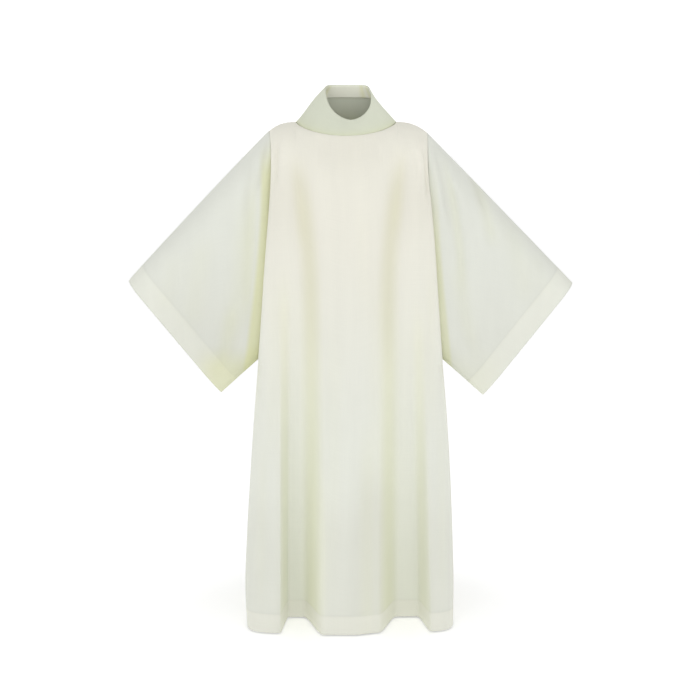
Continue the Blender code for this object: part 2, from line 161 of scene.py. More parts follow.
# Creases listed one by one, as soft troughs, or ridges where the depth is negative, between a top and
# a foot in x and z. bow sets the middle of the line sideways.
Crease = namedtuple("Crease", "x_top z_top x_foot z_foot depth half bow")
PANEL_CREASES = {
    FRONT: (
        Crease(-0.072, -0.030, -0.078, -0.125, 0.0022, 0.007, 0.0),
        Crease(-0.052, -0.036, -0.050, -0.100, 0.0012, 0.006, 0.0),
        Crease(0.062, -0.032, 0.074, -0.120, 0.0022, 0.007, 0.0),
        Crease(0.030, -0.036, 0.036, -0.085, 0.0010, 0.006, 0.0),
        Crease(-0.140, -0.070, -0.120, -0.330, 0.0040, 0.013, 0.004),
        Crease(0.133, -0.050, 0.112, -0.300, 0.0040, 0.013, -0.004),
        Crease(-0.180, -0.030, -0.186, -0.180, 0.0060, 0.007, 0.0),
        Crease(0.182, -0.030, 0.196, -0.210, 0.0080, 0.007, 0.002),
        Crease(0.158, -0.055, 0.166, -0.160, 0.0020, 0.007, 0.002),
        Crease(-0.190, -0.330, -0.205, -0.900, 0.0030, 0.016, 0.004),
        Crease(0.205, -0.300, 0.214, -0.820, 0.0030, 0.014, -0.003),
        Crease(-0.040, -0.420, -0.052, -1.280, 0.0026, 0.020, 0.004),
        Crease(0.006, -0.560, 0.014, -1.290, -0.0022, 0.024, 0.003),
        Crease(0.068, -0.300, 0.066, -0.980, 0.0024, 0.016, -0.004),
        Crease(-0.128, -0.500, -0.140, -1.240, -0.0024, 0.010, 0.002),
        Crease(-0.222, -0.760, -0.232, -1.290, 0.0030, 0.013, -0.002),
        Crease(0.150, -0.560, 0.152, -1.240, -0.0026, 0.012, 0.002),
        Crease(0.234, -0.700, 0.240, -1.290, 0.0030, 0.012, 0.003),
        Crease(-0.070, -0.860, -0.064, -1.300, 0.0026, 0.010, 0.0),
        Crease(0.026, -0.180, 0.040, -0.520, 0.0012, 0.020, 0.004),
        Crease(-0.020, -0.200, -0.026, -0.480, -0.0012, 0.022, 0.0),
    ),
    BACK: (
        Crease(-0.084, 0.000, -0.094, -0.110, 0.0020, 0.008, 0.0),
        Crease(0.058, 0.000, 0.070, -0.100, 0.0020, 0.008, 0.0),
        Crease(0.004, -0.010, 0.002, -0.090, 0.0012, 0.010, 0.0),
        Crease(-0.136, -0.060, -0.116, -0.360, 0.0042, 0.014, 0.004),
        Crease(0.130, -0.060, 0.108, -0.340, 0.0042, 0.014, -0.004),
        Crease(-0.178, -0.050, -0.190, -0.230, 0.0030, 0.009, 0.0),
        Crease(0.172, -0.050, 0.182, -0.210, 0.0028, 0.009, 0.0),
        Crease(0.020, -0.360, 0.036, -1.290, 0.0030, 0.020, -0.005),
        Crease(-0.060, -0.520, -0.068, -1.260, 0.0026, 0.018, 0.004),
        Crease(0.206, -0.360, 0.216, -0.960, 0.0030, 0.015, 0.003),
        Crease(-0.208, -0.420, -0.226, -1.100, 0.0032, 0.015, -0.003),
        Crease(-0.150, -0.620, -0.156, -1.260, -0.0026, 0.012, 0.002),
        Crease(0.126, -0.560, 0.128, -1.250, -0.0026, 0.012, -0.002),
        Crease(0.228, -0.800, 0.236, -1.295, 0.0028, 0.012, 0.0),
    ),
}
SLEEVE_CREASES = {
    (RIGHT, FRONT): (
        Crease(0.203, -0.040, 0.254, -0.290, 0.0045, 0.007, 0.004),
        Crease(0.272, -0.060, 0.345, -0.240, 0.0040, 0.008, 0.003),
        Crease(0.228, -0.060, 0.290, -0.460, 0.0080, 0.012, 0.010),
        Crease(0.246, -0.080, 0.330, -0.420, -0.0040, 0.016, 0.008),
        Crease(0.306, -0.115, 0.366, -0.330, 0.0065, 0.016, 0.006),
        Crease(0.390, -0.220, 0.460, -0.480, 0.0035, 0.026, 0.006),
        Crease(0.262, -0.330, 0.330, -0.620, 0.0050, 0.020, -0.004),
        Crease(0.470, -0.320, 0.500, -0.440, 0.0020, 0.022, 0.0),
    ),
    (LEFT, FRONT): (
        Crease(-0.206, -0.030, -0.232, -0.190, 0.0040, 0.007, 0.0),
        Crease(-0.246, -0.080, -0.268, -0.260, 0.0020, 0.009, 0.0),
        Crease(-0.236, -0.090, -0.262, -0.560, 0.0080, 0.016, -0.004),
        Crease(-0.262, -0.160, -0.330, -0.640, 0.0060, 0.026, 0.018),
        Crease(-0.360, -0.260, -0.410, -0.560, 0.0040, 0.030, -0.006),
        Crease(-0.300, -0.440, -0.345, -0.660, 0.0060, 0.018, 0.006),
        Crease(-0.440, -0.310, -0.480, -0.500, 0.0025, 0.026, 0.0),
    ),
    (RIGHT, BACK): (
        Crease(0.240, -0.090, 0.286, -0.560, 0.0100, 0.017, 0.006),
        Crease(0.330, -0.180, 0.392, -0.540, 0.0055, 0.024, 0.006),
        Crease(0.420, -0.290, 0.450, -0.520, 0.0035, 0.024, 0.0),
    ),
    (LEFT, BACK): (
        Crease(-0.246, -0.100, -0.300, -0.560, 0.0100, 0.017, -0.006),
        Crease(-0.350, -0.220, -0.390, -0.560, 0.0055, 0.024, -0.004),
        Crease(-0.450, -0.330, -0.470, -0.500, 0.0030, 0.022, 0.0),
    ),
}
CREASE_FADE = 0.3
CREASE_SIDE_CLEAR = 0.03
CREASE_TOP_CLEAR = 0.02

# Painted shade in the folds: the cloth's colour is made yellower there, as light that bounces in a fold
# looks, and a little darker in its fine creases: how soon along a fold, and how much in each kind of
# place
FOLD_TINT_POWER = 0.15
FOLD_TINT = 0.42
RECESS_TINT = 0.12
SLOPE_TINT = 0.40
CREASE_TINT_DEPTH = 0.040
FINE_HALF = 0.009
FINE_SHADE_DEPTH = 0.006
PANEL_FINE_SHADE = 0.2
TINT_SPREAD = 1.4
OUTER_TINT = 0.6
TINT_START_REACH = 0.18
# Painted shade in the hollow beside each armhole seam: yellow where the sleeve leaves the body, and
# darker by the seam shade
ARMHOLE_SHADE_TINT = {LEFT: 0.86, RIGHT: 0.62}
ARMHOLE_SHADE_START = {LEFT: -0.030, RIGHT: -0.050}
ARMHOLE_SHADE_GROWTH = {LEFT: 0.10, RIGHT: 0.32}
ARMHOLE_SHADE_TOP = 0.026
ARMHOLE_SHADE_FOOT = {LEFT: 0.037, RIGHT: 0.025}
ARMHOLE_SHADE_FADE = 1.7
SEAM_SHADE = 0.50

# Soft shade of a panel, by height: where the chest falls away from the shoulders, and beside there
CHEST_SHADE_TOP = -0.060
CHEST_SHADE_FULL = -0.190
CHEST_SHADE_FADE = -0.420
CHEST_SHADE_END = -0.700
CHEST_SHADE_WIDTH = 0.024
SIDE_SHADE = 0.5
SIDE_SHADE_END = -0.340

# Under the front of the collar
NECK_SHADE = 0.55
NECK_SHADE_HALF = 0.090
NECK_SHADE_TOP = -0.060
NECK_SHADE_END = -0.170

# Toward the hem, spared in the folds, and in two places more, at x on the front and at -x on the back
LOW_SHADE = 0.60
LOW_SHADE_SPARED = 1.4
LOW_SHADE_TOP = -0.900
LOW_SHADE_FULL = -1.060
LowShade = namedtuple("LowShade", "x half strength")
LOW_SHADES = (
    LowShade(x=0.056, half=0.044, strength=1.0),
    LowShade(x=0.200, half=0.030, strength=0.35),
)
LOW_SHADES_TOP = -0.780
LOW_SHADES_FULL = -1.000

# How much of its painted shade and of its painted fold tint a hem goes without
HEM_SHADE_SPARED = 0.8
HEM_FOLD_SPARED = 0.7

# Soft painted shade toward the lower corner of each sleeve, yellow and darker in the corner itself, and a
# faint line where a turned hem ends
SLEEVE_SHADE = {LEFT: 0.9, RIGHT: 0.5}
SLEEVE_SHADE_TOP = -0.300
SLEEVE_SHADE_FULL = -0.620
CORNER_TINT = {LEFT: 0.62, RIGHT: 0.10}
CORNER_SHADE = {LEFT: 1.0, RIGHT: 0.0}
CORNER_TOP = -0.560
CORNER_FULL = -0.640
CORNER_OUTER = -0.420
CORNER_INNER = -0.350
HEM_LINE_SHADE = 0.35
HEM_LINE_WIDTH = 0.0035

# Mesh lines across a panel: the side, then each step and gap, as in the solids, each split finely
SIDE_COLUMNS = 8
INNER_COLUMNS = (4, 3, 4, 8, 4, 3, 4)
SHOULDER_COLUMNS = 15
NECK_COLUMNS = 16
PANEL_COLUMNS = 2 * SHOULDER_COLUMNS + NECK_COLUMNS
COLUMN_SPLIT = 3

# Mesh rows: over the shoulder, down to the underarm, and down to the hem
SHOULDER_ROWS = 22
ARMHOLE_ROWS = 104
SKIRT_ROWS = 106
SHOULDER_ROW_CROWDING = 1.15
ARMHOLE_ROW_CROWDING = 1.5
UNDERARM_ROW = SHOULDER_ROWS + ARMHOLE_ROWS
SLEEVE_ROWS = 88
SLEEVE_FIRST_ROW = 0.010
BAND_ROWS = 12
BAND_EDGE = 0.001
COLLAR_ROWS = 30
HEM_ROWS = 10
FACING_ROWS = 14

# Layers: the firm collar, what lies inside another layer, and how far up the collar its facing lies
COLLAR_LAYERS = 1.5
LAYER_GAP = 0.0003
HEM_EDGE_GAP = 0.001
HEM_RAISE = 0.0003
HEM_SOFTNESS = 0.002
FACING_FOOT = 0.64
FACING_TOP = 0.985

# Stitching: how far inside a hem's top it runs, and its rows on the collar
SEWING_INSET = 0.003
COLLAR_SEWING_ROWS = {"base": 1, "rim": -4}

# Seams: the cloth dips to the seam line and puckers a little beside it
SEAM_DIP = 0.0003
SEAM_DIP_REACH = 0.0026
PUCKER = 0.00045
PUCKER_REACH = 0.011
PUCKER_LENGTHS = (0.0170, 0.0263)
PUCKER_PHASE = 0.7
PUCKER_START = 0.002

# Heights between which the cloth turns from its plain ivory to its warm one
WARM_END = -0.850
WARM_FULL = -0.160

# Finish of the cloth: what is set on the shader, and what varies its colour and its surface
CLOTH_FINISH = {
    "Roughness": 0.82,
    "Sheen Weight": 0.12,
    "Sheen Roughness": 0.45,
    "Specular IOR Level": 0.25,
}
THREAD_FINISH = {"Roughness": 0.6, "Sheen Weight": 0.2}
NOISE_DETAIL = 2.0
THREAD_ACROSS = 900.0
THREAD_ALONG = 14.0
THREAD_CONTRAST = 0.05
CLOUD_SCALE = 7.0
CLOUD_CONTRAST = 0.04
STREAK_STRETCH = (34.0, 34.0, 1.6)
STREAK_CONTRAST = 0.05
CRINKLE_STRETCH = (26.0, 9.0)
CRINKLE_DETAIL = 3.0
BUMP_STRENGTH = 0.25
CRINKLE_HEIGHT = 0.002
WEAVE_HEIGHT = 0.0002
TWIST_SCALE = 2400.0
TWIST_STRENGTH = 0.3
TWIST_HEIGHT = 0.0001

# Painted shade on the collar: yellower at its base, darker on its left and toward its rim, and in soft
# patches, standing for folds, inside its back corners
COLLAR_BASE_TINT = 0.42
COLLAR_BASE_REACH = 0.012
COLLAR_SIDE_SHADE = 0.5
COLLAR_TOP_SHADE = 0.5
COLLAR_SIDE_START = 0.020
COLLAR_SIDE_END = 0.130
FACING_CORNERS = (-0.95, -0.60, 0.62, 0.98)
FACING_CORNER_HALF = 0.10
FACING_FOLD_TINT = 0.5
FACING_FOLD_SHADE = 0.5

# Softboxes: one high in front of the robe, one over its shoulders
Softbox = namedtuple("Softbox", "place aim size")
FRONT_SOFTBOX = Softbox(place=(-0.3, -2.0, 2.3), aim=(0.0, 0.0, -0.3), size=2.0)
TOP_SOFTBOX = Softbox(place=(0.0, -0.6, 2.4), aim=(0.0, 0.0, 0.0), size=1.6)

# Floor: its size, its finish, and its own faint glow, less near the robe as a painted shadow
FLOOR_RADIUS = 60.0
FLOOR_CORNERS = 96
FLOOR_FINISH = {
    "Base Color": (0.90, 0.90, 0.90, 1.0),
    "Emission Color": (1.0, 1.0, 1.0, 1.0),
    "Roughness": 0.9,
    "Specular IOR Level": 0.1,
}
FLOOR_GLOW = 0.50
FLOOR_GLOW_NEAR = 0.35
FLOOR_SHADE_REACH = (0.28, 0.17)
FLOOR_SHADE_EDGES = (1.0, 2.4)

# The surround is dimmer overhead: the heights on its unit globe between which it turns
OVERHEAD_EDGES = (0.25, 0.60)

# Camera, as the photograph was taken
CAMERA_PLACE = (0.0, -3.0, -0.023)
CAMERA_TILT_DEG = 10.69
FOCAL_PIXELS = 1160.0
FRAME_PIXELS = 700.0
SENSOR_WIDTH_MM = 36.0

COLOUR_LIMITS = {"min": 0.0, "max": 1.0, "subtype": "COLOR"}


class RobeCloth(bpy.types.PropertyGroup):
    """Sizes and colours of the cloth."""

    wall: bpy.props.FloatProperty(
        name="Cloth thickness",
        description="Thickness of one layer of the cloth",
        default=0.0011, min=0.0005, max=0.003, unit="LENGTH",
    )
    hem_depth: bpy.props.FloatProperty(
        name="Hem depth",
        description="Depth of the turned-up hem of the body",
        default=0.048, min=0.01, max=0.1, unit="LENGTH",
    )
    cuff_depth: bpy.props.FloatProperty(
        name="Cuff hem depth",
        description="Depth of the turned-in hem of each sleeve",
        default=0.055, min=0.01, max=0.1, unit="LENGTH",
    )
    thread_pitch: bpy.props.FloatProperty(
        name="Thread pitch",
        description="Distance from one thread of the weave to the next",
        default=0.00055, min=0.0002, max=0.002, precision=5, unit="LENGTH",
    )
    ivory: bpy.props.FloatVectorProperty(
        name="Ivory",
        description="Colour of the cloth",
        default=(0.803, 0.817, 0.740),
        **COLOUR_LIMITS,
    )
    # Painted shade: the sleeves' cloth is the body's cloth made a little darker, as they hang away from
    # the light
    sleeve_shaded_ivory: bpy.props.FloatVectorProperty(
        name="Sleeve ivory",
        description="Colour of the cloth of the sleeves, which hang away from the light",
        default=(0.766, 0.781, 0.712),
        **COLOUR_LIMITS,
    )
    warm_ivory: bpy.props.FloatVectorProperty(
        name="Warm ivory",
        description="Colour of the cloth over the chest and the back",
        default=(0.840, 0.823, 0.729),
        **COLOUR_LIMITS,
    )
    # Painted shade: the cloth's colour is multiplied by these, yellower in its folds and darker where it
    # turns from the light
    fold_shade_tone: bpy.props.FloatVectorProperty(
        name="Fold tone",
        description="What the colour of the cloth is multiplied by in the deepest folds",
        default=(0.985, 0.985, 0.700),
        **COLOUR_LIMITS,
    )
    shade_tone: bpy.props.FloatVectorProperty(
        name="Shade tone",
        description="What the colour of the cloth is multiplied by where it turns from the light",
        default=(0.915, 0.910, 0.900),
        **COLOUR_LIMITS,
    )
    collar_ivory: bpy.props.FloatVectorProperty(
        name="Collar ivory",
        description="Colour of the collar, which has a firm layer inside",
        default=(0.716, 0.746, 0.618),
        **COLOUR_LIMITS,
    )
    # Painted light: the facing's cloth is made paler than the rest, to stand for light that hardly
    # reaches inside the collar
    facing_lit_ivory: bpy.props.FloatVectorProperty(
        name="Facing ivory",
        description="Colour of the inner layer of the collar",
        default=(0.985, 0.990, 0.850),
        **COLOUR_LIMITS,
    )
    hem_ivory: bpy.props.FloatVectorProperty(
        name="Hem ivory",
        description="Colour of the cloth where it is double",
        default=(0.812, 0.815, 0.728),
        **COLOUR_LIMITS,
    )
    cuff_ivory: bpy.props.FloatVectorProperty(
        name="Cuff ivory",
        description="Colour of the double cloth at the end of each sleeve",
        default=(0.818, 0.830, 0.748),
        **COLOUR_LIMITS,
    )


class RobeStitching(bpy.types.PropertyGroup):
    """Sizes of the stitching."""

    length: bpy.props.FloatProperty(
        name="Stitch length",
        description="Length of a stitch that shows",
        default=0.0026, min=0.001, max=0.006, precision=4, unit="LENGTH",
    )
    spacing: bpy.props.FloatProperty(
        name="Stitch spacing",
        description="Distance from one stitch to the next",
        default=0.0034, min=0.001, max=0.01, precision=4, unit="LENGTH",
    )
    width: bpy.props.FloatProperty(
        name="Thread width",
        description="Width of the sewing thread",
        default=0.00045, min=0.0002, max=0.001, precision=5, unit="LENGTH",
    )


class RobeStage(bpy.types.PropertyGroup):
    """The light and the floor."""

    surround: bpy.props.FloatProperty(
        name="Surround light",
        description="Strength of the white light from all round",
        default=1.18, min=0.0, max=3.0,
    )
    overhead: bpy.props.FloatProperty(
        name="Overhead share",
        description="How bright the light from straight above is, as a share of the rest",
        default=0.35, min=0.0, max=1.0,
    )
    front_light: bpy.props.FloatProperty(
        name="Front light",
        description="Power of the large soft light high in front",
        default=6.0, min=0.0, max=1000.0, unit="POWER",
    )
    top_light: bpy.props.FloatProperty(
        name="Top light",
        description="Power of the soft light over the shoulders",
        default=16.0, min=0.0, max=1000.0, unit="POWER",
    )
    floor_gap: bpy.props.FloatProperty(
        name="Floor gap",
        description="Distance from the lowest hem to the floor",
        default=0.004, min=0.0, max=0.1, unit="LENGTH",
    )


def lerp(start, end, share):
    """The value this share of the way from start to end."""
    return start + (end - start) * share


def smooth(share):
    """An S curve from 0 to 1."""
    share = np.clip(share, 0.0, 1.0)
    return share * share * (3.0 - 2.0 * share)


def hump(share):
    """A curve that rises from 0 to 1 and falls back as the share goes from 0 to 1."""
    return 4.0 * share * (1.0 - share)


def across_line(side, line, half, x):
    """How far out past a line down the panel points lie, as an S curve from 0 to 1 over its width."""
    return smooth(0.5 + 0.5 * side * (x - line) / half)


def read_heights(heights, values, z):
    """Values at heights z, on a smooth curve through the values given from the top down."""
    places = np.array(heights[::-1])
    sizes = np.array(values[::-1])
    slopes = np.gradient(sizes, places)
    z = np.clip(z, places[0], places[-1])
    lower = np.clip(np.searchsorted(places, z, side="right") - 1, 0, len(places) - 2)
    span = places[lower + 1] - places[lower]
    t = (z - places[lower]) / span
    rise = sizes[lower] * (2 * t**3 - 3 * t**2 + 1) + sizes[lower + 1] * (3 * t**2 - 2 * t**3)
    lean = slopes[lower] * (t**3 - 2 * t**2 + t) + slopes[lower + 1] * (t**3 - t**2)
    return rise + lean * span


def body_size(column, z):
    """One column of the body outline at heights z."""
    heights = [ring.z for ring in BODY_RINGS]
    return read_heights(heights, [getattr(ring, column) for ring in BODY_RINGS], z)


def neck_points(angles):
    """The neckline at angles: 0 is the middle front, 90 degrees the right shoulder."""
    front = np.cos(angles) > 0
    reach = np.abs(np.cos(angles))
    x = NECK_CENTRE_X + NECK_HALF_WIDTH * np.sin(angles)
    y = np.where(front, FRONT * NECK_REACH[FRONT], BACK * NECK_REACH[BACK]) * reach
    z = np.where(front, NECK_RISE[FRONT], NECK_RISE[BACK]) * reach**NECK_DIP_POWER
    return np.stack([x, y, z], axis=-1)


def shoulder_points(side, share):
    """The shoulder seam, from the neckline at 0 to the armhole's top at 1."""
    top_x, top_z = ARMHOLE_TOP[side]
    neck_x = neck_points(np.array(side * math.pi / 2))[0]
    x = lerp(neck_x, top_x, share)
    return np.stack([x, np.zeros_like(x), top_z * share**SHOULDER_SLOPE_POWER], axis=-1)


def armhole_share(side, z):
    """How far down the armhole heights z lie."""
    top_z = ARMHOLE_TOP[side][1]
    return np.clip((top_z - z) / (top_z - UNDERARM_Z), 0.0, 1.0)


def edge_x(side, z):
    """The panel's side edge: the armhole seam, and the side seam under it."""
    width = "left" if side == LEFT else "right"
    underarm_x = side * body_size(width, np.array(UNDERARM_Z))
    share = armhole_share(side, z)
    tuck = ARMHOLE_TUCK[side] * np.sin(math.pi * share**ARMHOLE_TUCK_POWER)
    armhole = lerp(ARMHOLE_TOP[side][0], underarm_x, share**ARMHOLE_FLARE_POWER) - side * tuck
    return np.where(z < UNDERARM_Z, side * body_size(width, z), armhole)


def seam_lift(side, z):
    """How much nearer the face of the cloth the armhole seam lies than its full depth."""
    return lerp(SEAM_LIFT_TOP, SEAM_LIFT_FOOT, smooth(z / SEAM_LIFT_REACH[side]))


def edge_y(side, face, z):
    """How far forward or back the panel's side edge lies."""
    foot = np.clip(1.0 - (z - UNDERARM_Z) / ARMHOLE_FOOT, 0.0, 1.0)
    depth = (ARMHOLE_DEPTH[face] + seam_lift(side, z)) * np.sqrt(1.0 - foot**2)
    return np.where(z <= UNDERARM_Z, 0.0, face * depth)


def soft_edge_y(side, face, z, from_edge):
    """The same, changing gently with height away from the seam."""
    near = np.exp(-((from_edge / SEAM_SHAPE_REACH) ** 2))
    fade = smooth(ARMHOLE_SOFT_START + (z - UNDERARM_Z) / (2.0 * ARMHOLE_SOFTENING))
    soft = face * (ARMHOLE_DEPTH[face] + seam_lift(side, z)) * fade
    return lerp(soft, edge_y(side, face, z), near)


def step_x(step, z):
    """Where a step lies at heights z."""
    places = (step.x_shoulder, step.x_chest, step.x_waist, step.x_hem)
    return read_heights(STEP_HEIGHTS, places, z)


def step_half(step, z):
    """Half the width of a step's slope at heights z."""
    return lerp(step.half_top, step.half_hem, smooth(z / HEM_Z))


def growth(start, z):
    """How much of its depth at the hem a fold has at heights z: none above its start."""
    return np.clip((start - z) / (start - HEM_Z), 0.0, 1.0) ** STEP_GROWTH


def fold_offset(face, x, z):
    """How far the hanging folds set the panel back toward the middle of the body."""
    offset = np.zeros_like(x)
    for step in STEPS[face]:
        across = across_line(step.side, step_x(step, z), step_half(step, z), x)
        offset += step.way * step.depth * growth(step.start, z) * across
    for slope in SLOPES[face]:
        across = across_line(slope.side, slope.x, slope.half, x)
        offset += slope.depth * growth(slope.start, z) * across
    return offset


def tint_growth(start, z):
    """How much of its full painted fold shade a fold has at heights z: it begins softly below its start.
    """
    return growth(start, z) ** FOLD_TINT_POWER * between(z, start, start - TINT_START_REACH)


def fold_tint(face, x, z):
    """How deep in the folds a panel's points lie, from 0 to 1, for the painted shade that colours the
    cloth there.
    """
    tint = RECESS_TINT * recess_share(face, x, z)
    for step in STEPS[face]:
        weight = 1.0 if step.way > 0 else OUTER_TINT
        tint += weight * tint_growth(step.start, z) * hump(share_past(step, x, z))
    for slope in SLOPES[face]:
        across = across_line(slope.side, slope.x, slope.half, x)
        tint += SLOPE_TINT * tint_growth(slope.start, z) * hump(across)
    return tint


def share_past(step, x, z):
    """How far past a step points lie, as an S curve from 0 to 1, a little wider than its slope."""
    return across_line(step.side, step_x(step, z), TINT_SPREAD * step_half(step, z), x)


def recess_share(face, x, z):
    """How far a panel's points lie in its recesses, between a step back and the next one forward."""
    share = np.zeros_like(x)
    for side in (LEFT, RIGHT):
        steps = {step.way: step for step in STEPS[face] if step.side == side}
        inside = share_past(steps[1], x, z) * (1.0 - share_past(steps[-1], x, z))
        share += tint_growth(steps[-1].start, z) * inside
    return share


def between(z, start, end):
    """How far down from start to end heights z lie, as an S curve from 0 to 1."""
    return smooth((z - start) / (end - start))


def panel_shade(face, x, z):
    """How shaded a panel's points are: on the chest, under the collar and toward the hem."""
    grown = between(z, CHEST_SHADE_TOP, CHEST_SHADE_FULL)
    on_slope = grown * (1.0 - between(z, CHEST_SHADE_FADE, CHEST_SHADE_END))
    beside = SIDE_SHADE * grown * (1.0 - between(z, CHEST_SHADE_FULL, SIDE_SHADE_END))
    shade = np.zeros_like(x)
    for step in STEPS[face]:
        if step.way < 0:
            continue
        outward = step.side * (x - step_x(step, z)) / CHEST_SHADE_WIDTH
        shade += on_slope * np.exp(-(outward**2)) + beside * smooth(0.5 + 0.5 * outward)
    if face == FRONT:
        under_collar = np.exp(-(((x - NECK_CENTRE_X) / NECK_SHADE_HALF) ** 2))
        shade += NECK_SHADE * under_collar * (1.0 - between(z, NECK_SHADE_TOP, NECK_SHADE_END))
    spared = LOW_SHADE_SPARED * fold_tint(face, x, z) + recess_share(face, x, z)
    low = LOW_SHADE * (1.0 - np.clip(spared, 0.0, 1.0))
    shade += low * between(z, LOW_SHADE_TOP, LOW_SHADE_FULL)
    for place in LOW_SHADES:
        across = np.exp(-(((x + face * place.x) / place.half) ** 2))
        shade += place.strength * across * between(z, LOW_SHADES_TOP, LOW_SHADES_FULL)
    return shade


def panel_surface(face, x, z):
    """A panel's outer points at x and z: a square-shouldered oval with the folds set into it."""
    left = x < 0
    edge = np.where(left, edge_x(LEFT, z), edge_x(RIGHT, z))
    share = np.clip(np.abs(x / edge), 0.0, 1.0)
    squareness = body_size("squareness", z)
    fullness = (1.0 - share**squareness) ** (1.0 / squareness)
    reach = body_size(FACE_NAMES[face], z)
    from_edge = np.abs(edge) - np.abs(x)
    side_y = np.where(left, soft_edge_y(LEFT, face, z, from_edge), soft_edge_y(RIGHT, face, z, from_edge))
    y = lerp(side_y, face * (reach - fold_offset(face, x, z)), fullness)
    down = np.where(left, armhole_share(LEFT, z), armhole_share(RIGHT, z))
    overhang = EDGE_FOLD_OVERHANG * np.sin(math.pi * np.clip(down, 0.0, 1.0)) ** EDGE_FOLD_POWER
    overhang = np.where(z < UNDERARM_Z, 0.0, overhang)
    outward = np.where(left, LEFT, RIGHT) * overhang * hump(fullness)
    return np.stack([x + outward, y, z], axis=-1)


def control_lines(face, z):
    """The x of each control line across a panel at heights z, from the left edge to the right."""
    lines = [edge_x(LEFT, z)]
    for step in STEPS[face]:
        half = step_half(step, z)
        lines += [step_x(step, z) - half, step_x(step, z) + half]
    return lines + [edge_x(RIGHT, z)]


def column_x(face, column, z):
    """The x of one mesh line, counted in the solid's columns from the left edge, at heights z."""
    lines = control_lines(face, z)
    squareness = body_size("squareness", z)
    if column <= SIDE_COLUMNS:
        return side_x(lines[1], lines[0], 1.0 - column / SIDE_COLUMNS, squareness)
    if column >= PANEL_COLUMNS - SIDE_COLUMNS:
        share = 1.0 - (PANEL_COLUMNS - column) / SIDE_COLUMNS
        return side_x(lines[-2], lines[-1], share, squareness)
    passed = SIDE_COLUMNS
    for index, count in enumerate(INNER_COLUMNS):
        if column <= passed + count:
            return lerp(lines[index + 1], lines[index + 2], (column - passed) / count)
        passed += count
    raise ValueError(f"column {column} is not on the panel")


def side_x(inner, outer, share, squareness):
    """The x at a share of the way from the outermost step to the edge, closer where it turns."""
    start = np.arcsin((inner / outer) ** (squareness / 2.0))
    turn = lerp(start, math.pi / 2, 1.0 - (1.0 - share) ** 2)
    return outer * np.sin(turn) ** (2.0 / squareness)


def top_edge(face, columns):
    """The points of a panel's top edge at the mesh lines: shoulder, neckline, shoulder."""
    points = []
    for column in columns:
        if column < SHOULDER_COLUMNS:
            points.append(shoulder_points(LEFT, np.array(1.0 - column / SHOULDER_COLUMNS)))
        elif column > SHOULDER_COLUMNS + NECK_COLUMNS:
            share = (column - SHOULDER_COLUMNS - NECK_COLUMNS) / SHOULDER_COLUMNS
            points.append(shoulder_points(RIGHT, np.array(share)))
        else:
            angle = -math.pi / 2 + math.pi * (column - SHOULDER_COLUMNS) / NECK_COLUMNS
            points.append(neck_points(np.array(angle if face == FRONT else math.pi - angle)))
    return np.array(points)


def panel_grid(face):
    """A panel's outer points as rows by columns, from the top edge to the hem."""
    columns = np.arange(PANEL_COLUMNS * COLUMN_SPLIT + 1) / COLUMN_SPLIT
    top = top_edge(face, columns)
    turn = (np.arange(SHOULDER_ROWS + 1) / SHOULDER_ROWS) ** SHOULDER_ROW_CROWDING * math.pi / 2
    down = 1.0 - (1.0 - np.arange(1, ARMHOLE_ROWS + 1) / ARMHOLE_ROWS) ** ARMHOLE_ROW_CROWDING
    band_top = HEM_Z + bpy.context.scene.robe_cloth.hem_depth
    skirt = lerp(UNDERARM_Z, band_top + BAND_EDGE, np.arange(1, SKIRT_ROWS + 1) / SKIRT_ROWS)
    band = lerp(band_top - BAND_EDGE, HEM_Z, np.arange(BAND_ROWS + 1) / BAND_ROWS)
    grid = []
    for column, (top_x, top_y, top_z) in zip(columns, top):
        over = top_z - SHOULDER_DROP * (1.0 - np.cos(turn))
        armhole = lerp(over[-1], UNDERARM_Z, down)
        z = np.concatenate([over, armhole, skirt, band])
        side = LEFT if column < PANEL_COLUMNS / 2 else RIGHT
        edge = edge_x(side, z)
        settle = smooth((top_z - z) / COLUMN_SETTLE)
        x = edge * lerp(top_x / edge_x(side, top_z), column_x(face, column, z) / edge, settle)
        points = panel_surface(face, x, z)
        points[: len(over), 1] = lerp(top_y, points[: len(over), 1], np.sin(turn))
        grid.append(points)
    return keep_side(face, np.swapaxes(np.array(grid), 0, 1))


def armhole_ring(side):
    """The armhole's points, down the front and up the back, and the face of each."""
    column = 0 if side == LEFT else -1
    front = panel_grid(FRONT)[: UNDERARM_ROW + 1, column]
    back = panel_grid(BACK)[UNDERARM_ROW - 1 : 0 : -1, column]
    ring = np.concatenate([front, back])
    ring[0, 1] = 0.0
    ring[UNDERARM_ROW, 1] = 0.0
    ring[:, 0] += side * SEAM_GAP
    faces = np.array([FRONT] * len(front) + [BACK] * len(back))
    return ring, faces


def crease_offset(creases, x, z):
    """How far a list of creases sets a surface in."""
    offset = np.zeros_like(x)
    for crease in creases:
        share = (z - crease.z_top) / (crease.z_foot - crease.z_top)
        fade = smooth(share / CREASE_FADE) * smooth((1.0 - share) / CREASE_FADE)
        line_x = lerp(crease.x_top, crease.x_foot, share)
        line_x = line_x + crease.bow * np.sin(math.pi * np.clip(share, 0.0, 1.0))
        offset += crease.depth * fade * np.exp(-(((x - line_x) / crease.half) ** 2))
    return offset


def crease_tones(creases, x, z):
    """The painted shade of the creases in a list: a yellow tint in its wide ones and a darker shade in
    its fine ones.
    """
    wide = crease_offset([crease for crease in creases if crease.half > FINE_HALF], x, z)
    fine = crease_offset([crease for crease in creases if crease.half <= FINE_HALF], x, z)
    return np.maximum(wide, 0.0) / CREASE_TINT_DEPTH, np.maximum(fine, 0.0) / FINE_SHADE_DEPTH


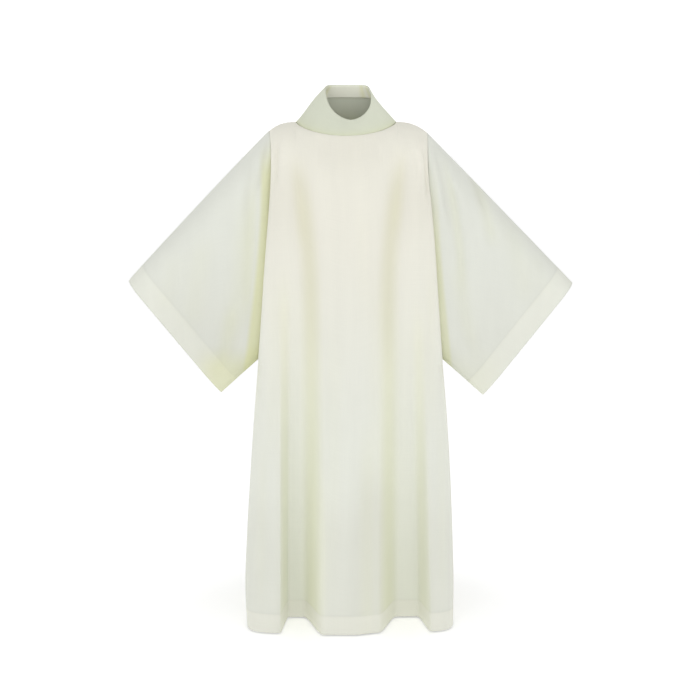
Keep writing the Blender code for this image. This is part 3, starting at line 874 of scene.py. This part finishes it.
def sleeve_shares(side, ring):
    """How far along the sleeve each row lies: from the seam to the top of the hem, and to the cuff."""
    reach = cuff_distance(side, ring)
    depth = bpy.context.scene.robe_cloth.cuff_depth
    upper = np.arange(SLEEVE_ROWS + 1)[:, None] / SLEEVE_ROWS * (1.0 - (depth + BAND_EDGE) / reach)
    upper[1] = SLEEVE_FIRST_ROW
    band = np.arange(BAND_ROWS + 1)[:, None] / BAND_ROWS
    return np.concatenate([upper, lerp(1.0 - (depth - BAND_EDGE) / reach, 1.0, band)])


def sleeve_grid(side):
    """A sleeve's outer points: rings from the armhole to the cuff."""
    ring, faces = armhole_ring(side)
    x, y, z = ring.T
    down = armhole_share(side, z)
    lift = seam_lift(side, z)
    depth = np.where(faces == FRONT, ARMHOLE_DEPTH[FRONT], ARMHOLE_DEPTH[BACK]) + lift
    roundness = np.abs(y) / depth
    thickness = CUFF_HALF_THICKNESS * (1.0 - CUFF_THINNING * down) * roundness
    cuff_x = lerp(CUFF_TOP[side][0], CUFF_BOTTOM[side][0], down)
    cuff_z = lerp(CUFF_TOP[side][1], CUFF_BOTTOM[side][1], down)
    fill = lerp(SLEEVE_SWELL_TOP, SLEEVE_SWELL_FOOT, smooth(down)) - SLEEVE_SWELL_LIFTED * lift
    fill = fill * roundness
    rows = []
    for share in sleeve_shares(side, ring):
        crown = SLEEVE_CROWN[side] * np.maximum(np.sin(math.pi * share), 0.0) ** SLEEVE_CROWN_POWER
        fall = smooth((share - SLEEVE_SWELL_FULL) / (SLEEVE_SWELL_END - SLEEVE_SWELL_FULL))
        swell = fill * (1.0 - np.exp(-share / SLEEVE_SWELL_RISE)) * (1.0 - fall)
        row_x = lerp(x, cuff_x, share)
        row_z = lerp(z, cuff_z, share) + crown * (1.0 - down)
        row_y = lerp(y, CUFF_CENTRE_Y + faces * thickness, share) + faces * swell
        for face in (FRONT, BACK):
            offset = crease_offset(SLEEVE_CREASES[side, face], row_x, row_z) * roundness
            row_y = np.where(faces == face, row_y - face * offset, row_y)
        rows.append(np.stack([row_x, row_y, row_z], axis=-1))
    return np.array(rows)


def rim_points(angles):
    """The collar's rim at angles: 0 is the middle front."""
    forward = (1.0 + np.cos(angles)) / 2.0
    square = lerp(RIM_BACK_SQUARENESS, RIM_FRONT_SQUARENESS, forward**RIM_FRONT_REACH)
    sweep = np.tanh(square * np.sin(angles)) / np.tanh(square)
    x = RIM_CENTRE_X + RIM_TWIST * np.cos(angles) + RIM_HALF_WIDTH * sweep
    y = RIM_CENTRE_Y - RIM_HALF_DEPTH * np.cos(angles)
    return np.stack([x, y, lerp(RIM_BACK_Z, RIM_FRONT_Z, forward**RIM_TILT_POWER)], axis=-1)


def collar_angles():
    """The angles of the collar's mesh lines, which meet those of the panels at the neckline."""
    count = 2 * NECK_COLUMNS * COLUMN_SPLIT
    return -math.pi / 2 + 2 * math.pi * np.arange(count) / count


def collar_grid(first_share=0.0, last_share=1.0, rows=COLLAR_ROWS):
    """The collar's outer points, from the neckline up to the rim, or between two shares of that."""
    angles = collar_angles()
    base = neck_points(angles)
    base[:, 2] += SEAM_GAP
    rim = rim_points(angles)
    grid = []
    for share in lerp(first_share, last_share, np.arange(rows + 1) / rows):
        belly = math.sin(math.pi * share**COLLAR_SWELL_POWER)
        swell = COLLAR_SWELL * belly
        row = lerp(base, rim, share)
        row[:, 0] += swell * np.sin(angles) + COLLAR_LEAN * belly
        row[:, 1] -= swell * np.cos(angles)
        grid.append(row)
    return np.array(grid)


def grid_normals(grid, closed, flipped):
    """Outward unit normals of a grid of points."""
    down = np.gradient(grid, axis=0)
    if closed:
        across = np.roll(grid, -1, axis=1) - np.roll(grid, 1, axis=1)
    else:
        across = np.gradient(grid, axis=1)
    normals = np.cross(down, across)
    if flipped:
        normals = -normals
    lengths = np.linalg.norm(normals, axis=-1, keepdims=True)
    return normals / np.maximum(lengths, np.finfo(float).tiny)


def running_length(grid, axis):
    """Distance along the rows or columns of a grid, from its first point."""
    steps = np.linalg.norm(np.diff(grid, axis=axis), axis=-1)
    start = np.zeros_like(np.take(steps, [0], axis=axis))
    return np.concatenate([start, np.cumsum(steps, axis=axis)], axis=axis)


def seam_offset(distance, along):
    """How far the cloth dips and puckers near a seam."""
    dip = SEAM_DIP * np.exp(-distance / SEAM_DIP_REACH)
    first, second = PUCKER_LENGTHS
    wave = np.sin(2 * math.pi * along / first) * np.sin(2 * math.pi * along / second + PUCKER_PHASE)
    near = np.exp(-((distance / PUCKER_REACH) ** 2)) * (1.0 - np.exp(-distance / PUCKER_START))
    return dip + PUCKER * wave * near


def tone(fold, shade):
    """What the colour of the cloth is multiplied by at each point: the painted shade of its folds and its
    other painted shade.
    """
    cloth = bpy.context.scene.robe_cloth
    colour = np.ones((fold.size, 4))
    for share, full in ((fold, cloth.fold_shade_tone), (shade, cloth.shade_tone)):
        share = np.clip(share, 0.0, 1.0).reshape(-1, 1)
        colour[:, :3] *= 1.0 - share * (1.0 - np.array(full))
    return colour


def cloth_sheet(name, grid, closed, flipped, wall, hem=None, tones=None):
    """A fine cloth sheet through a grid of outer points, with its wall turned inward."""
    rows, width = grid.shape[:2]
    spans = width if closed else width - 1
    row, column = np.meshgrid(np.arange(rows - 1), np.arange(spans), indexing="ij")
    following = (column + 1) % width
    corners = [
        row * width + column,
        (row + 1) * width + column,
        (row + 1) * width + following,
        row * width + following,
    ]
    if flipped:
        corners = corners[::-1]
    faces = np.stack(corners, axis=-1).reshape(-1, 4)
    mesh = bpy.data.meshes.new(name)
    mesh.from_pydata(grid.reshape(-1, 3).tolist(), [], faces.tolist())
    mesh.shade_smooth()
    add_uv(mesh, grid, closed)
    band = mesh.attributes.new("hem", "FLOAT", "POINT")
    band.data.foreach_set("value", np.zeros(rows * width) if hem is None else hem.ravel())
    layer = mesh.attributes.new("tone", "FLOAT_COLOR", "POINT")
    layer.data.foreach_set("color", np.ones(rows * width * 4) if tones is None else tones.ravel())
    piece = bpy.data.objects.new(name, mesh)
    bpy.context.scene.collection.objects.link(piece)
    give_wall(piece, wall)
    return piece


def add_uv(mesh, grid, closed):
    """A UV map in metres that follows the cloth: across the threads, and down them."""
    width = grid.shape[1]
    loops = np.empty(len(mesh.loops), dtype=np.int64)
    mesh.loops.foreach_get("vertex_index", loops)
    ring = np.concatenate([grid, grid[:, :1]], axis=1) if closed else grid
    across = running_length(ring, 1)
    across = across - across[:, width // 2 : width // 2 + 1]
    down = running_length(grid, 0)
    row, column = loops // width, loops % width
    quads = column.reshape(-1, 4)
    wraps = (quads.max(axis=1) - quads.min(axis=1)) > 1
    lifted = np.where(wraps[:, None] & (quads == 0), width, quads).ravel() if closed else column
    layer = mesh.uv_layers.new(name="Cloth")
    layer.data.foreach_set("uv", np.stack([across[row, lifted], -down[row, column]], axis=-1).ravel())


def give_wall(piece, wall):
    """Turns an open sheet into a thin closed wall."""
    for item in bpy.context.selected_objects:
        item.select_set(False)
    piece.select_set(True)
    bpy.context.view_layer.objects.active = piece
    modifier = piece.modifiers.new("Wall", "SOLIDIFY")
    modifier.thickness = wall
    modifier.offset = -1.0
    modifier.use_even_offset = True
    bpy.ops.object.modifier_apply(modifier=modifier.name)


def panel_with_detail(face):
    """A panel's points with its creases, seam dips and puckers, and its hem band."""
    grid = panel_grid(face)
    normals = grid_normals(grid, closed=False, flipped=face == BACK)
    across = running_length(grid, 1)
    down = running_length(grid, 0)
    side = np.minimum(across, across[:, -1:] - across)
    x, z = grid[..., 0], grid[..., 2]
    clear = smooth(side / CREASE_SIDE_CLEAR) * smooth(down / CREASE_TOP_CLEAR)
    offset = crease_offset(PANEL_CREASES[face], x, z) * clear
    offset += seam_offset(side, down) + seam_offset(down, across)
    above_hem = z - HEM_Z - bpy.context.scene.robe_cloth.hem_depth
    hem = smooth(0.5 - above_hem / HEM_SOFTNESS)
    offset -= HEM_RAISE * hem
    moved = grid - normals * offset[..., None]
    moved[-1, :, 2] = HEM_Z
    # Painted shade of the panel: yellow in its folds and wide creases, darker on the chest, under the
    # collar, toward the hem and in its fine creases
    creases, fine_creases = crease_tones(PANEL_CREASES[face], x, z)
    fold = FOLD_TINT * fold_tint(face, x, z) + creases
    shade = panel_shade(face, x, z) + PANEL_FINE_SHADE * fine_creases
    shade = shade * (1.0 - HEM_SHADE_SPARED * hem) + hem_line(above_hem)
    tones = tone(fold * (1.0 - HEM_FOLD_SPARED * hem), shade)
    return keep_side(face, moved), hem, tones


def keep_side(face, grid):
    """Keeps a panel on its own side of the side seams and the shoulder seams."""
    half_gap = SEAM_GAP / 2
    if face == FRONT:
        grid[..., 1] = np.minimum(grid[..., 1], -half_gap)
    else:
        grid[..., 1] = np.maximum(grid[..., 1], half_gap)
    return grid


def at_distance(values, distance, heights):
    """Values of a grid's columns at distances from its last row."""
    columns = []
    for column in range(values.shape[1]):
        steps = distance[::-1, column]
        read = [np.interp(heights, steps, values[::-1, column, axis]) for axis in range(3)]
        columns.append(np.stack(read, axis=-1))
    return np.stack(columns, axis=1)


def sewn_hem(names, grid, normals, distance, depth, closed, flipped, material):
    """The cloth turned up inside a piece, from its edge to the hem's top, and the stitches there."""
    wall = bpy.context.scene.robe_cloth.wall
    heights = lerp(depth, HEM_EDGE_GAP, np.arange(HEM_ROWS + 1) / HEM_ROWS)
    strip = at_distance(grid, distance, heights)
    strip -= grid_normals(strip, closed, flipped) * (wall + LAYER_GAP)
    turned = cloth_sheet(names[0], strip, closed, flipped, wall)
    turned.data.materials.append(material)
    height = [depth - SEWING_INSET]
    line = at_distance(grid, distance, height)[0]
    outward = at_distance(normals, distance, height)[0]
    return [turned, sewing_line(names[1], line, outward, closed)]


def sewing_line(name, path, normals, closed):
    """A line of stitches along a path on the cloth: each a short thread, thickest in its middle."""
    sewing = bpy.context.scene.robe_stitching
    if closed:
        path = np.concatenate([path, path[:1]])
        normals = np.concatenate([normals, normals[:1]])
    run = running_length(path, 0)
    count = int(run[-1] / sewing.spacing)
    middle = (np.arange(count) + 0.5) * run[-1] / count
    ends = []
    for place in (middle - sewing.length / 2, middle + sewing.length / 2):
        ends.append(np.stack([np.interp(place, run, path[:, axis]) for axis in range(3)], axis=-1))
    outward = np.stack([np.interp(middle, run, normals[:, axis]) for axis in range(3)], axis=-1)
    outward /= np.linalg.norm(outward, axis=-1, keepdims=True)
    across = np.cross(ends[1] - ends[0], outward)
    across *= sewing.width / 2 / np.linalg.norm(across, axis=-1, keepdims=True)
    centre = (ends[0] + ends[1]) / 2
    top = outward * sewing.width / 2
    corners = [ends[0], ends[1], centre + across, centre + top, centre - across, centre - top]
    faces = []
    for stitch in range(count):
        first = 6 * stitch
        for side in range(4):
            near, far = first + 2 + side, first + 2 + (side + 1) % 4
            faces += [(first, near, far), (first + 1, far, near)]
    mesh = bpy.data.meshes.new(name)
    mesh.from_pydata(np.stack(corners, axis=1).reshape(-1, 3).tolist(), [], faces)
    mesh.shade_smooth()
    piece = bpy.data.objects.new(name, mesh)
    bpy.context.scene.collection.objects.link(piece)
    piece.data.materials.append(bpy.data.materials.get("sewing_thread") or thread_material())
    return piece


def dress(piece, node, material):
    """Gives a piece its cloth: it stands for its node and moves with the robe."""
    piece.data.materials.append(material)
    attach(piece, "root")
    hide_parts(node)


def goes_with(pieces):
    """Lets hems and stitching move with the robe."""
    for piece in pieces:
        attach(piece, "root")


class RobePanels(bpy.types.Operator):
    """Makes the front and the back, each one hanging sheet with its folds and creases"""

    bl_idname = "robe.panels"
    bl_label = "Front and back"

    def execute(self, context):
        cloth = context.scene.robe_cloth
        material = cloth_material("body_weave", cloth.ivory, 1.0, cloth.hem_ivory)
        for face in (FRONT, BACK):
            flipped = face == BACK
            grid, hem, tones = panel_with_detail(face)
            name = FACE_NAMES[face] + "_panel"
            piece = cloth_sheet(name + "_cloth", grid, False, flipped, cloth.wall, hem, tones)
            dress(piece, name, material)
            normals = grid_normals(grid, False, flipped)
            names = (name + "_hem", name + "_hem_stitching")
            above = grid[..., 2] - HEM_Z
            extras = sewn_hem(names, grid, normals, above, cloth.hem_depth, False, flipped, material)
            goes_with(extras)
        return {"FINISHED"}


class RobeSleeves(bpy.types.Operator):
    """Makes the two sleeves, wide tubes that hang flat from the arm"""

    bl_idname = "robe.sleeves"
    bl_label = "Sleeves"

    def execute(self, context):
        cloth = context.scene.robe_cloth
        # The sleeves take a darker copy of the cloth's colour, as painted shade
        material = cloth_material("sleeve_weave", cloth.sleeve_shaded_ivory, 0.0, cloth.cuff_ivory)
        for side in (LEFT, RIGHT):
            flipped = side == RIGHT
            grid = sleeve_grid(side)
            normals = grid_normals(grid, closed=True, flipped=flipped)
            along = running_length(grid, 0)
            distance = cuff_distance(side, grid)
            hem = smooth((cloth.cuff_depth - distance) / HEM_SOFTNESS + 0.5)
            offset = seam_offset(along, running_length(grid, 1)) - HEM_RAISE * hem
            moved = grid - normals * offset[..., None]
            name = "sleeve_" + SIDE_NAMES[side]
            tones = tone(*sleeve_shade_tones(side, grid, along))
            piece = cloth_sheet(name + "_cloth", moved, True, flipped, cloth.wall, hem, tones)
            dress(piece, name, material)
            names = (name + "_hem", name + "_stitching")
            extras = sewn_hem(names, moved, normals, distance, cloth.cuff_depth, True, flipped, material)
            goes_with(extras)
        return {"FINISHED"}


def sleeve_shade_tones(side, grid, along):
    """The painted shade of a sleeve's points: how yellow, as in a fold, and how dark they are, most
    beside the armhole.
    """
    x, y, z = np.moveaxis(grid, -1, 0)
    # Painted shade beside the armhole seam
    start = smooth((ARMHOLE_SHADE_START[side] - z[0]) / ARMHOLE_SHADE_GROWTH[side])
    reach = lerp(ARMHOLE_SHADE_TOP, ARMHOLE_SHADE_FOOT[side], armhole_share(side, z[0]))
    fold = ARMHOLE_SHADE_TINT[side] * start * (1.0 - between(along, reach, ARMHOLE_SHADE_FADE * reach))
    shade = SEAM_SHADE * fold + SLEEVE_SHADE[side] * between(z, SLEEVE_SHADE_TOP, SLEEVE_SHADE_FULL)
    shade += hem_line(cuff_distance(side, grid) - bpy.context.scene.robe_cloth.cuff_depth)
    # Painted shade, yellow and darker, in the sleeve's lower corner by the body
    corner = between(z, CORNER_TOP, CORNER_FULL) * between(-np.abs(x), CORNER_OUTER, CORNER_INNER)
    fold += CORNER_TINT[side] * corner
    shade += CORNER_SHADE[side] * corner
    for face in (FRONT, BACK):
        on_face = y * face > CUFF_CENTRE_Y * face
        creases, fine_creases = crease_tones(SLEEVE_CREASES[side, face], x, z)
        fold += np.where(on_face, creases, 0.0)
        shade += np.where(on_face, fine_creases, 0.0)
    return fold, shade


def hem_line(past):
    """The shade of the faint line where a turned hem ends, by the distance past it."""
    return HEM_LINE_SHADE * np.exp(-((past / HEM_LINE_WIDTH) ** 2))


def cuff_distance(side, grid):
    """Distance of a sleeve's points from the line of the cuff's edge."""
    top = np.array(CUFF_TOP[side])
    along = np.array(CUFF_BOTTOM[side]) - top
    along = along / np.linalg.norm(along)
    reach = grid[..., [0, 2]] - top
    return np.abs(reach[..., 0] * along[1] - reach[..., 1] * along[0])


class RobeCollar(bpy.types.Operator):
    """Makes the funnel collar and the band inside its rim"""

    bl_idname = "robe.collar"
    bl_label = "Collar"

    def execute(self, context):
        cloth = context.scene.robe_cloth
        material = cloth_material("collar_weave", cloth.collar_ivory, 0.0, cloth.collar_ivory)
        grid = collar_grid()
        normals = grid_normals(grid, closed=True, flipped=True)
        along = running_length(grid, 0)
        moved = grid - normals * seam_offset(along, running_length(grid, 1))[..., None]
        # Painted shade: yellower near the collar's base, darker on its left and toward its rim
        fold = COLLAR_BASE_TINT * np.exp(-along / COLLAR_BASE_REACH)
        shade = COLLAR_SIDE_SHADE * between(-grid[..., 0], COLLAR_SIDE_START, COLLAR_SIDE_END)
        shade += COLLAR_TOP_SHADE * along / along[-1:]
        firm_wall = cloth.wall * COLLAR_LAYERS
        piece = cloth_sheet("collar_cloth", moved, True, True, firm_wall, tones=tone(fold, shade))
        dress(piece, "collar", material)
        extras = []
        for place, row in COLLAR_SEWING_ROWS.items():
            extras.append(sewing_line("collar_" + place + "_stitching", moved[row], normals[row], True))
        goes_with(extras)

        inner = collar_grid(FACING_FOOT, FACING_TOP, FACING_ROWS)
        facing = inner - grid_normals(inner, closed=True, flipped=True) * (firm_wall + LAYER_GAP)
        # Painted shade in soft patches inside the facing's back corners, standing for folds there
        folds = np.zeros_like(inner[..., 0])
        for corner in FACING_CORNERS:
            folds += np.exp(-(((collar_angles() - math.pi - corner) / FACING_CORNER_HALF) ** 2))
        tones = tone(FACING_FOLD_TINT * folds, FACING_FOLD_SHADE * folds)
        lining = cloth_sheet("collar_facing_cloth", facing, True, True, cloth.wall, tones=tones)
        # The facing takes a paler copy of the cloth's colour, as painted light
        inner_weave = cloth_material("facing_weave", cloth.facing_lit_ivory, 0.0, cloth.facing_lit_ivory)
        dress(lining, "collar_facing", inner_weave)
        return {"FINISHED"}


def feed(tree, value, target):
    """Sets a socket to a number or a colour, or joins another socket to it."""
    if isinstance(value, (int, float, tuple)):
        target.default_value = value
    else:
        tree.links.new(value, target)


def math_node(tree, operation, first, second=None):
    """A Math node on sockets or plain numbers, and its output."""
    node = tree.nodes.new("ShaderNodeMath")
    node.operation = operation
    feed(tree, first, node.inputs[0])
    if second is not None:
        feed(tree, second, node.inputs[1])
    return node.outputs[0]


def mix_colour(tree, share, first, second, blend="MIX"):
    """A colour mixed from two colours or sockets by a share."""
    node = tree.nodes.new("ShaderNodeMix")
    node.data_type = "RGBA"
    node.blend_type = blend
    for index, value in ((0, share), (6, first), (7, second)):
        feed(tree, value, node.inputs[index])
    return node.outputs[2]


def noise(tree, vector, scale, detail):
    """A noise texture's value."""
    node = tree.nodes.new("ShaderNodeTexNoise")
    node.inputs["Scale"].default_value = scale
    node.inputs["Detail"].default_value = detail
    feed(tree, vector, node.inputs["Vector"])
    return node.outputs["Fac"]


def varied(tree, value, contrast, middle=0.5):
    """A value near 1 that follows a noise, whose middle turns into 1."""
    part = math_node(tree, "MULTIPLY", value, contrast)
    return math_node(tree, "ADD", part, 1.0 - contrast * middle)


def soft_range(tree, value, edges, start, end):
    """A value that turns smoothly from start to end while the one given passes between two edges."""
    node = tree.nodes.new("ShaderNodeMapRange")
    node.interpolation_type = "SMOOTHSTEP"
    numbers = {"From Min": edges[0], "From Max": edges[1], "To Min": start, "To Max": end}
    for name, number in numbers.items():
        node.inputs[name].default_value = number
    feed(tree, value, node.inputs["Value"])
    return node.outputs["Result"]


def attribute(tree, name, output):
    """What the mesh holds under a name."""
    node = tree.nodes.new("ShaderNodeAttribute")
    node.attribute_name = name
    return node.outputs[output]


def bump(tree, height, depth, strength, under=None):
    """A pattern's relief, laid over another one where that is given."""
    node = tree.nodes.new("ShaderNodeBump")
    node.inputs["Strength"].default_value = strength
    node.inputs["Distance"].default_value = depth
    feed(tree, height, node.inputs["Height"])
    if under is not None:
        feed(tree, under, node.inputs["Normal"])
    return node.outputs[0]


def new_material(name, finish):
    """A material with its nodes and its shader, on which the finish's numbers are set."""
    material = bpy.data.materials.new(name)
    material.use_nodes = True
    tree = material.node_tree
    shader = tree.nodes["Principled BSDF"]
    for socket, value in finish.items():
        shader.inputs[socket].default_value = value
    return material, tree, shader


def plain_weave(tree, uv, pitch):
    """The height of a plain weave: threads that pass over and under each other."""
    parts = tree.nodes.new("ShaderNodeSeparateXYZ")
    feed(tree, uv, parts.inputs[0])
    turns = [math_node(tree, "MULTIPLY", parts.outputs[axis], math.pi / pitch) for axis in (0, 1)]
    waves = [math_node(tree, "SINE", turn) for turn in turns]
    warp = math_node(tree, "ABSOLUTE", waves[0])
    weft = math_node(tree, "ABSOLUTE", waves[1])
    over = math_node(tree, "GREATER_THAN", math_node(tree, "MULTIPLY", waves[0], waves[1]), 0.0)
    under = math_node(tree, "SUBTRACT", 1.0, over)
    warp_part = math_node(tree, "MULTIPLY", warp, over)
    return math_node(tree, "ADD", warp_part, math_node(tree, "MULTIPLY", weft, under))


def stretched(tree, place, across, down, deep=1.0):
    """Coordinates stretched so that a noise runs along one set of threads, or down the cloth."""
    node = tree.nodes.new("ShaderNodeMapping")
    node.inputs["Scale"].default_value = (across, down, deep)
    feed(tree, place, node.inputs["Vector"])
    return node.outputs[0]


def cloth_material(name, ivory, warmth, hem_ivory):
    """Fine matt ivory cloth: a plain weave with uneven threads, soft crinkles and its own hem colour."""
    cloth = bpy.context.scene.robe_cloth
    material, tree, shader = new_material(name, CLOTH_FINISH)
    uv_map = tree.nodes.new("ShaderNodeUVMap")
    uv_map.uv_map = "Cloth"
    uv = uv_map.outputs[0]
    place = tree.nodes.new("ShaderNodeTexCoord").outputs["Object"]

    height = tree.nodes.new("ShaderNodeSeparateXYZ")
    feed(tree, place, height.inputs[0])
    warm_share = soft_range(tree, height.outputs["Z"], (WARM_END, WARM_FULL), 0.0, warmth)
    colour = mix_colour(tree, warm_share, (*ivory, 1.0), (*cloth.warm_ivory, 1.0))
    colour = mix_colour(tree, attribute(tree, "hem", "Fac"), colour, (*hem_ivory, 1.0))
    # Painted shade, held in the tone attribute, darkens and yellows the colour
    colour = mix_colour(tree, 1.0, colour, attribute(tree, "tone", "Color"), "MULTIPLY")

    warp = noise(tree, stretched(tree, uv, THREAD_ACROSS, THREAD_ALONG), 1.0, NOISE_DETAIL)
    weft = noise(tree, stretched(tree, uv, THREAD_ALONG, THREAD_ACROSS), 1.0, NOISE_DETAIL)
    threads = varied(tree, math_node(tree, "ADD", warp, weft), THREAD_CONTRAST, middle=1.0)
    clouds = varied(tree, noise(tree, place, CLOUD_SCALE, NOISE_DETAIL), CLOUD_CONTRAST)
    streaks = noise(tree, stretched(tree, place, *STREAK_STRETCH), 1.0, NOISE_DETAIL)
    value = math_node(tree, "MULTIPLY", threads, clouds)
    value = math_node(tree, "MULTIPLY", value, varied(tree, streaks, STREAK_CONTRAST))
    uneven = tree.nodes.new("ShaderNodeHueSaturation")
    feed(tree, value, uneven.inputs["Value"])
    feed(tree, colour, uneven.inputs["Color"])
    feed(tree, uneven.outputs[0], shader.inputs["Base Color"])

    crinkles = noise(tree, stretched(tree, uv, *CRINKLE_STRETCH), 1.0, CRINKLE_DETAIL)
    relief = bump(tree, crinkles, CRINKLE_HEIGHT, BUMP_STRENGTH)
    weave = plain_weave(tree, uv, cloth.thread_pitch)
    feed(tree, bump(tree, weave, WEAVE_HEIGHT, BUMP_STRENGTH, relief), shader.inputs["Normal"])
    return material


def thread_material():
    """Sewing thread: pale ivory, with a fine twist."""
    cloth = bpy.context.scene.robe_cloth
    material, tree, shader = new_material("sewing_thread", THREAD_FINISH)
    place = tree.nodes.new("ShaderNodeTexCoord").outputs["Object"]
    twist = noise(tree, place, TWIST_SCALE, 1.0)
    colour = mix_colour(tree, twist, (*cloth.cuff_ivory, 1.0), (*cloth.ivory, 1.0))
    feed(tree, colour, shader.inputs["Base Color"])
    feed(tree, bump(tree, twist, TWIST_HEIGHT, TWIST_STRENGTH), shader.inputs["Normal"])
    return material


def add_softbox(name, softbox, power):
    """Adds a square soft light."""
    light = bpy.data.lights.new(name, "AREA")
    light.shape = "SQUARE"
    light.size = softbox.size
    light.energy = power
    lamp = bpy.data.objects.new(name, light)
    lamp.location = softbox.place
    aim = Vector(softbox.aim) - Vector(softbox.place)
    lamp.rotation_euler = aim.to_track_quat("-Z", "Y").to_euler()
    bpy.context.scene.collection.objects.link(lamp)


def add_floor(floor_z):
    """Adds the pale floor, which glows a little less near the robe, as a painted shadow."""
    bpy.ops.object.select_all(action="DESELECT")
    bpy.ops.mesh.primitive_circle_add(
        vertices=FLOOR_CORNERS, radius=FLOOR_RADIUS, fill_type="NGON", location=(0.0, 0.0, floor_z)
    )
    floor = bpy.context.active_object
    floor.name = "studio_floor"
    bpy.ops.object.transform_apply(location=True, rotation=True, scale=True)
    material, tree, shader = new_material("pale_floor", FLOOR_FINISH)
    place = tree.nodes.new("ShaderNodeTexCoord").outputs["Object"]
    # Painted shadow: the glow is less within an oval round the robe
    reach_x, reach_y = FLOOR_SHADE_REACH
    away = tree.nodes.new("ShaderNodeVectorMath")
    away.operation = "LENGTH"
    feed(tree, stretched(tree, place, 1.0 / reach_x, 1.0 / reach_y, 0.0), away.inputs[0])
    glow = soft_range(tree, away.outputs["Value"], FLOOR_SHADE_EDGES, FLOOR_GLOW_NEAR, FLOOR_GLOW)
    feed(tree, glow, shader.inputs["Emission Strength"])
    floor.data.materials.append(material)


def add_surround(strength, overhead):
    """Lights the robe from all round, less from straight above."""
    world = bpy.data.worlds.new("white_surround")
    world.use_nodes = True
    tree = world.node_tree
    background = tree.nodes["Background"]
    background.inputs["Strength"].default_value = strength
    parts = tree.nodes.new("ShaderNodeSeparateXYZ")
    feed(tree, tree.nodes.new("ShaderNodeTexCoord").outputs["Generated"], parts.inputs[0])
    dimmed = soft_range(tree, parts.outputs["Z"], OVERHEAD_EDGES, 1.0, overhead)
    feed(tree, dimmed, background.inputs["Color"])
    bpy.context.scene.world = world


def add_camera():
    """Adds the camera, level with the shoulders and tilted down, as the photograph was taken."""
    camera = bpy.data.cameras.new("camera")
    camera.sensor_width = SENSOR_WIDTH_MM
    camera.lens = FOCAL_PIXELS / FRAME_PIXELS * SENSOR_WIDTH_MM
    viewer = bpy.data.objects.new("camera", camera)
    viewer.location = CAMERA_PLACE
    viewer.rotation_euler = (math.radians(90.0 - CAMERA_TILT_DEG), 0.0, 0.0)
    bpy.context.scene.collection.objects.link(viewer)
    bpy.context.scene.camera = viewer


class RobeStageSet(bpy.types.Operator):
    """Sets the pale floor, the soft studio light and the camera"""

    bl_idname = "robe.stage"
    bl_label = "Stage"

    def execute(self, context):
        stage = context.scene.robe_stage
        add_floor(HEM_Z - stage.floor_gap)
        add_surround(stage.surround, stage.overhead)
        add_softbox("front_softbox", FRONT_SOFTBOX, stage.front_light)
        add_softbox("top_softbox", TOP_SOFTBOX, stage.top_light)
        add_camera()
        context.scene.view_settings.view_transform = "Standard"
        return {"FINISHED"}


class RobePanel(bpy.types.Panel):
    """The robe's sizes and the steps that make it"""

    bl_idname = "VIEW3D_PT_alb_robe"
    bl_label = "Alb robe"
    bl_space_type = "VIEW_3D"
    bl_region_type = "UI"
    bl_category = "Alb Robe"

    def draw(self, context):
        layout = self.layout
        for group in ("robe_cloth", "robe_stitching", "robe_stage"):
            box = layout.box()
            settings = getattr(context.scene, group)
            for name in settings.__annotations__:
                box.prop(settings, name)
        for operator in OPERATORS:
            layout.operator(operator.bl_idname)


OPERATORS = (RobePanels, RobeSleeves, RobeCollar, RobeStageSet)
GROUPS = {"robe_cloth": RobeCloth, "robe_stitching": RobeStitching, "robe_stage": RobeStage}


def register():
    """Registers the classes and puts the settings on the scene."""
    for item in (*GROUPS.values(), *OPERATORS, RobePanel):
        bpy.utils.register_class(item)
    for name, group in GROUPS.items():
        setattr(bpy.types.Scene, name, bpy.props.PointerProperty(type=group))


def unregister():
    """Takes the settings off the scene and unregisters the classes."""
    for name in GROUPS:
        delattr(bpy.types.Scene, name)
    for item in reversed((*GROUPS.values(), *OPERATORS, RobePanel)):
        bpy.utils.unregister_class(item)


def main():
    """Builds the dressed robe."""
    register()
    bpy.ops.robe.stage()
    bpy.ops.robe.panels()
    bpy.ops.robe.sleeves()
    bpy.ops.robe.collar()


if __name__ == "__main__":
    main()
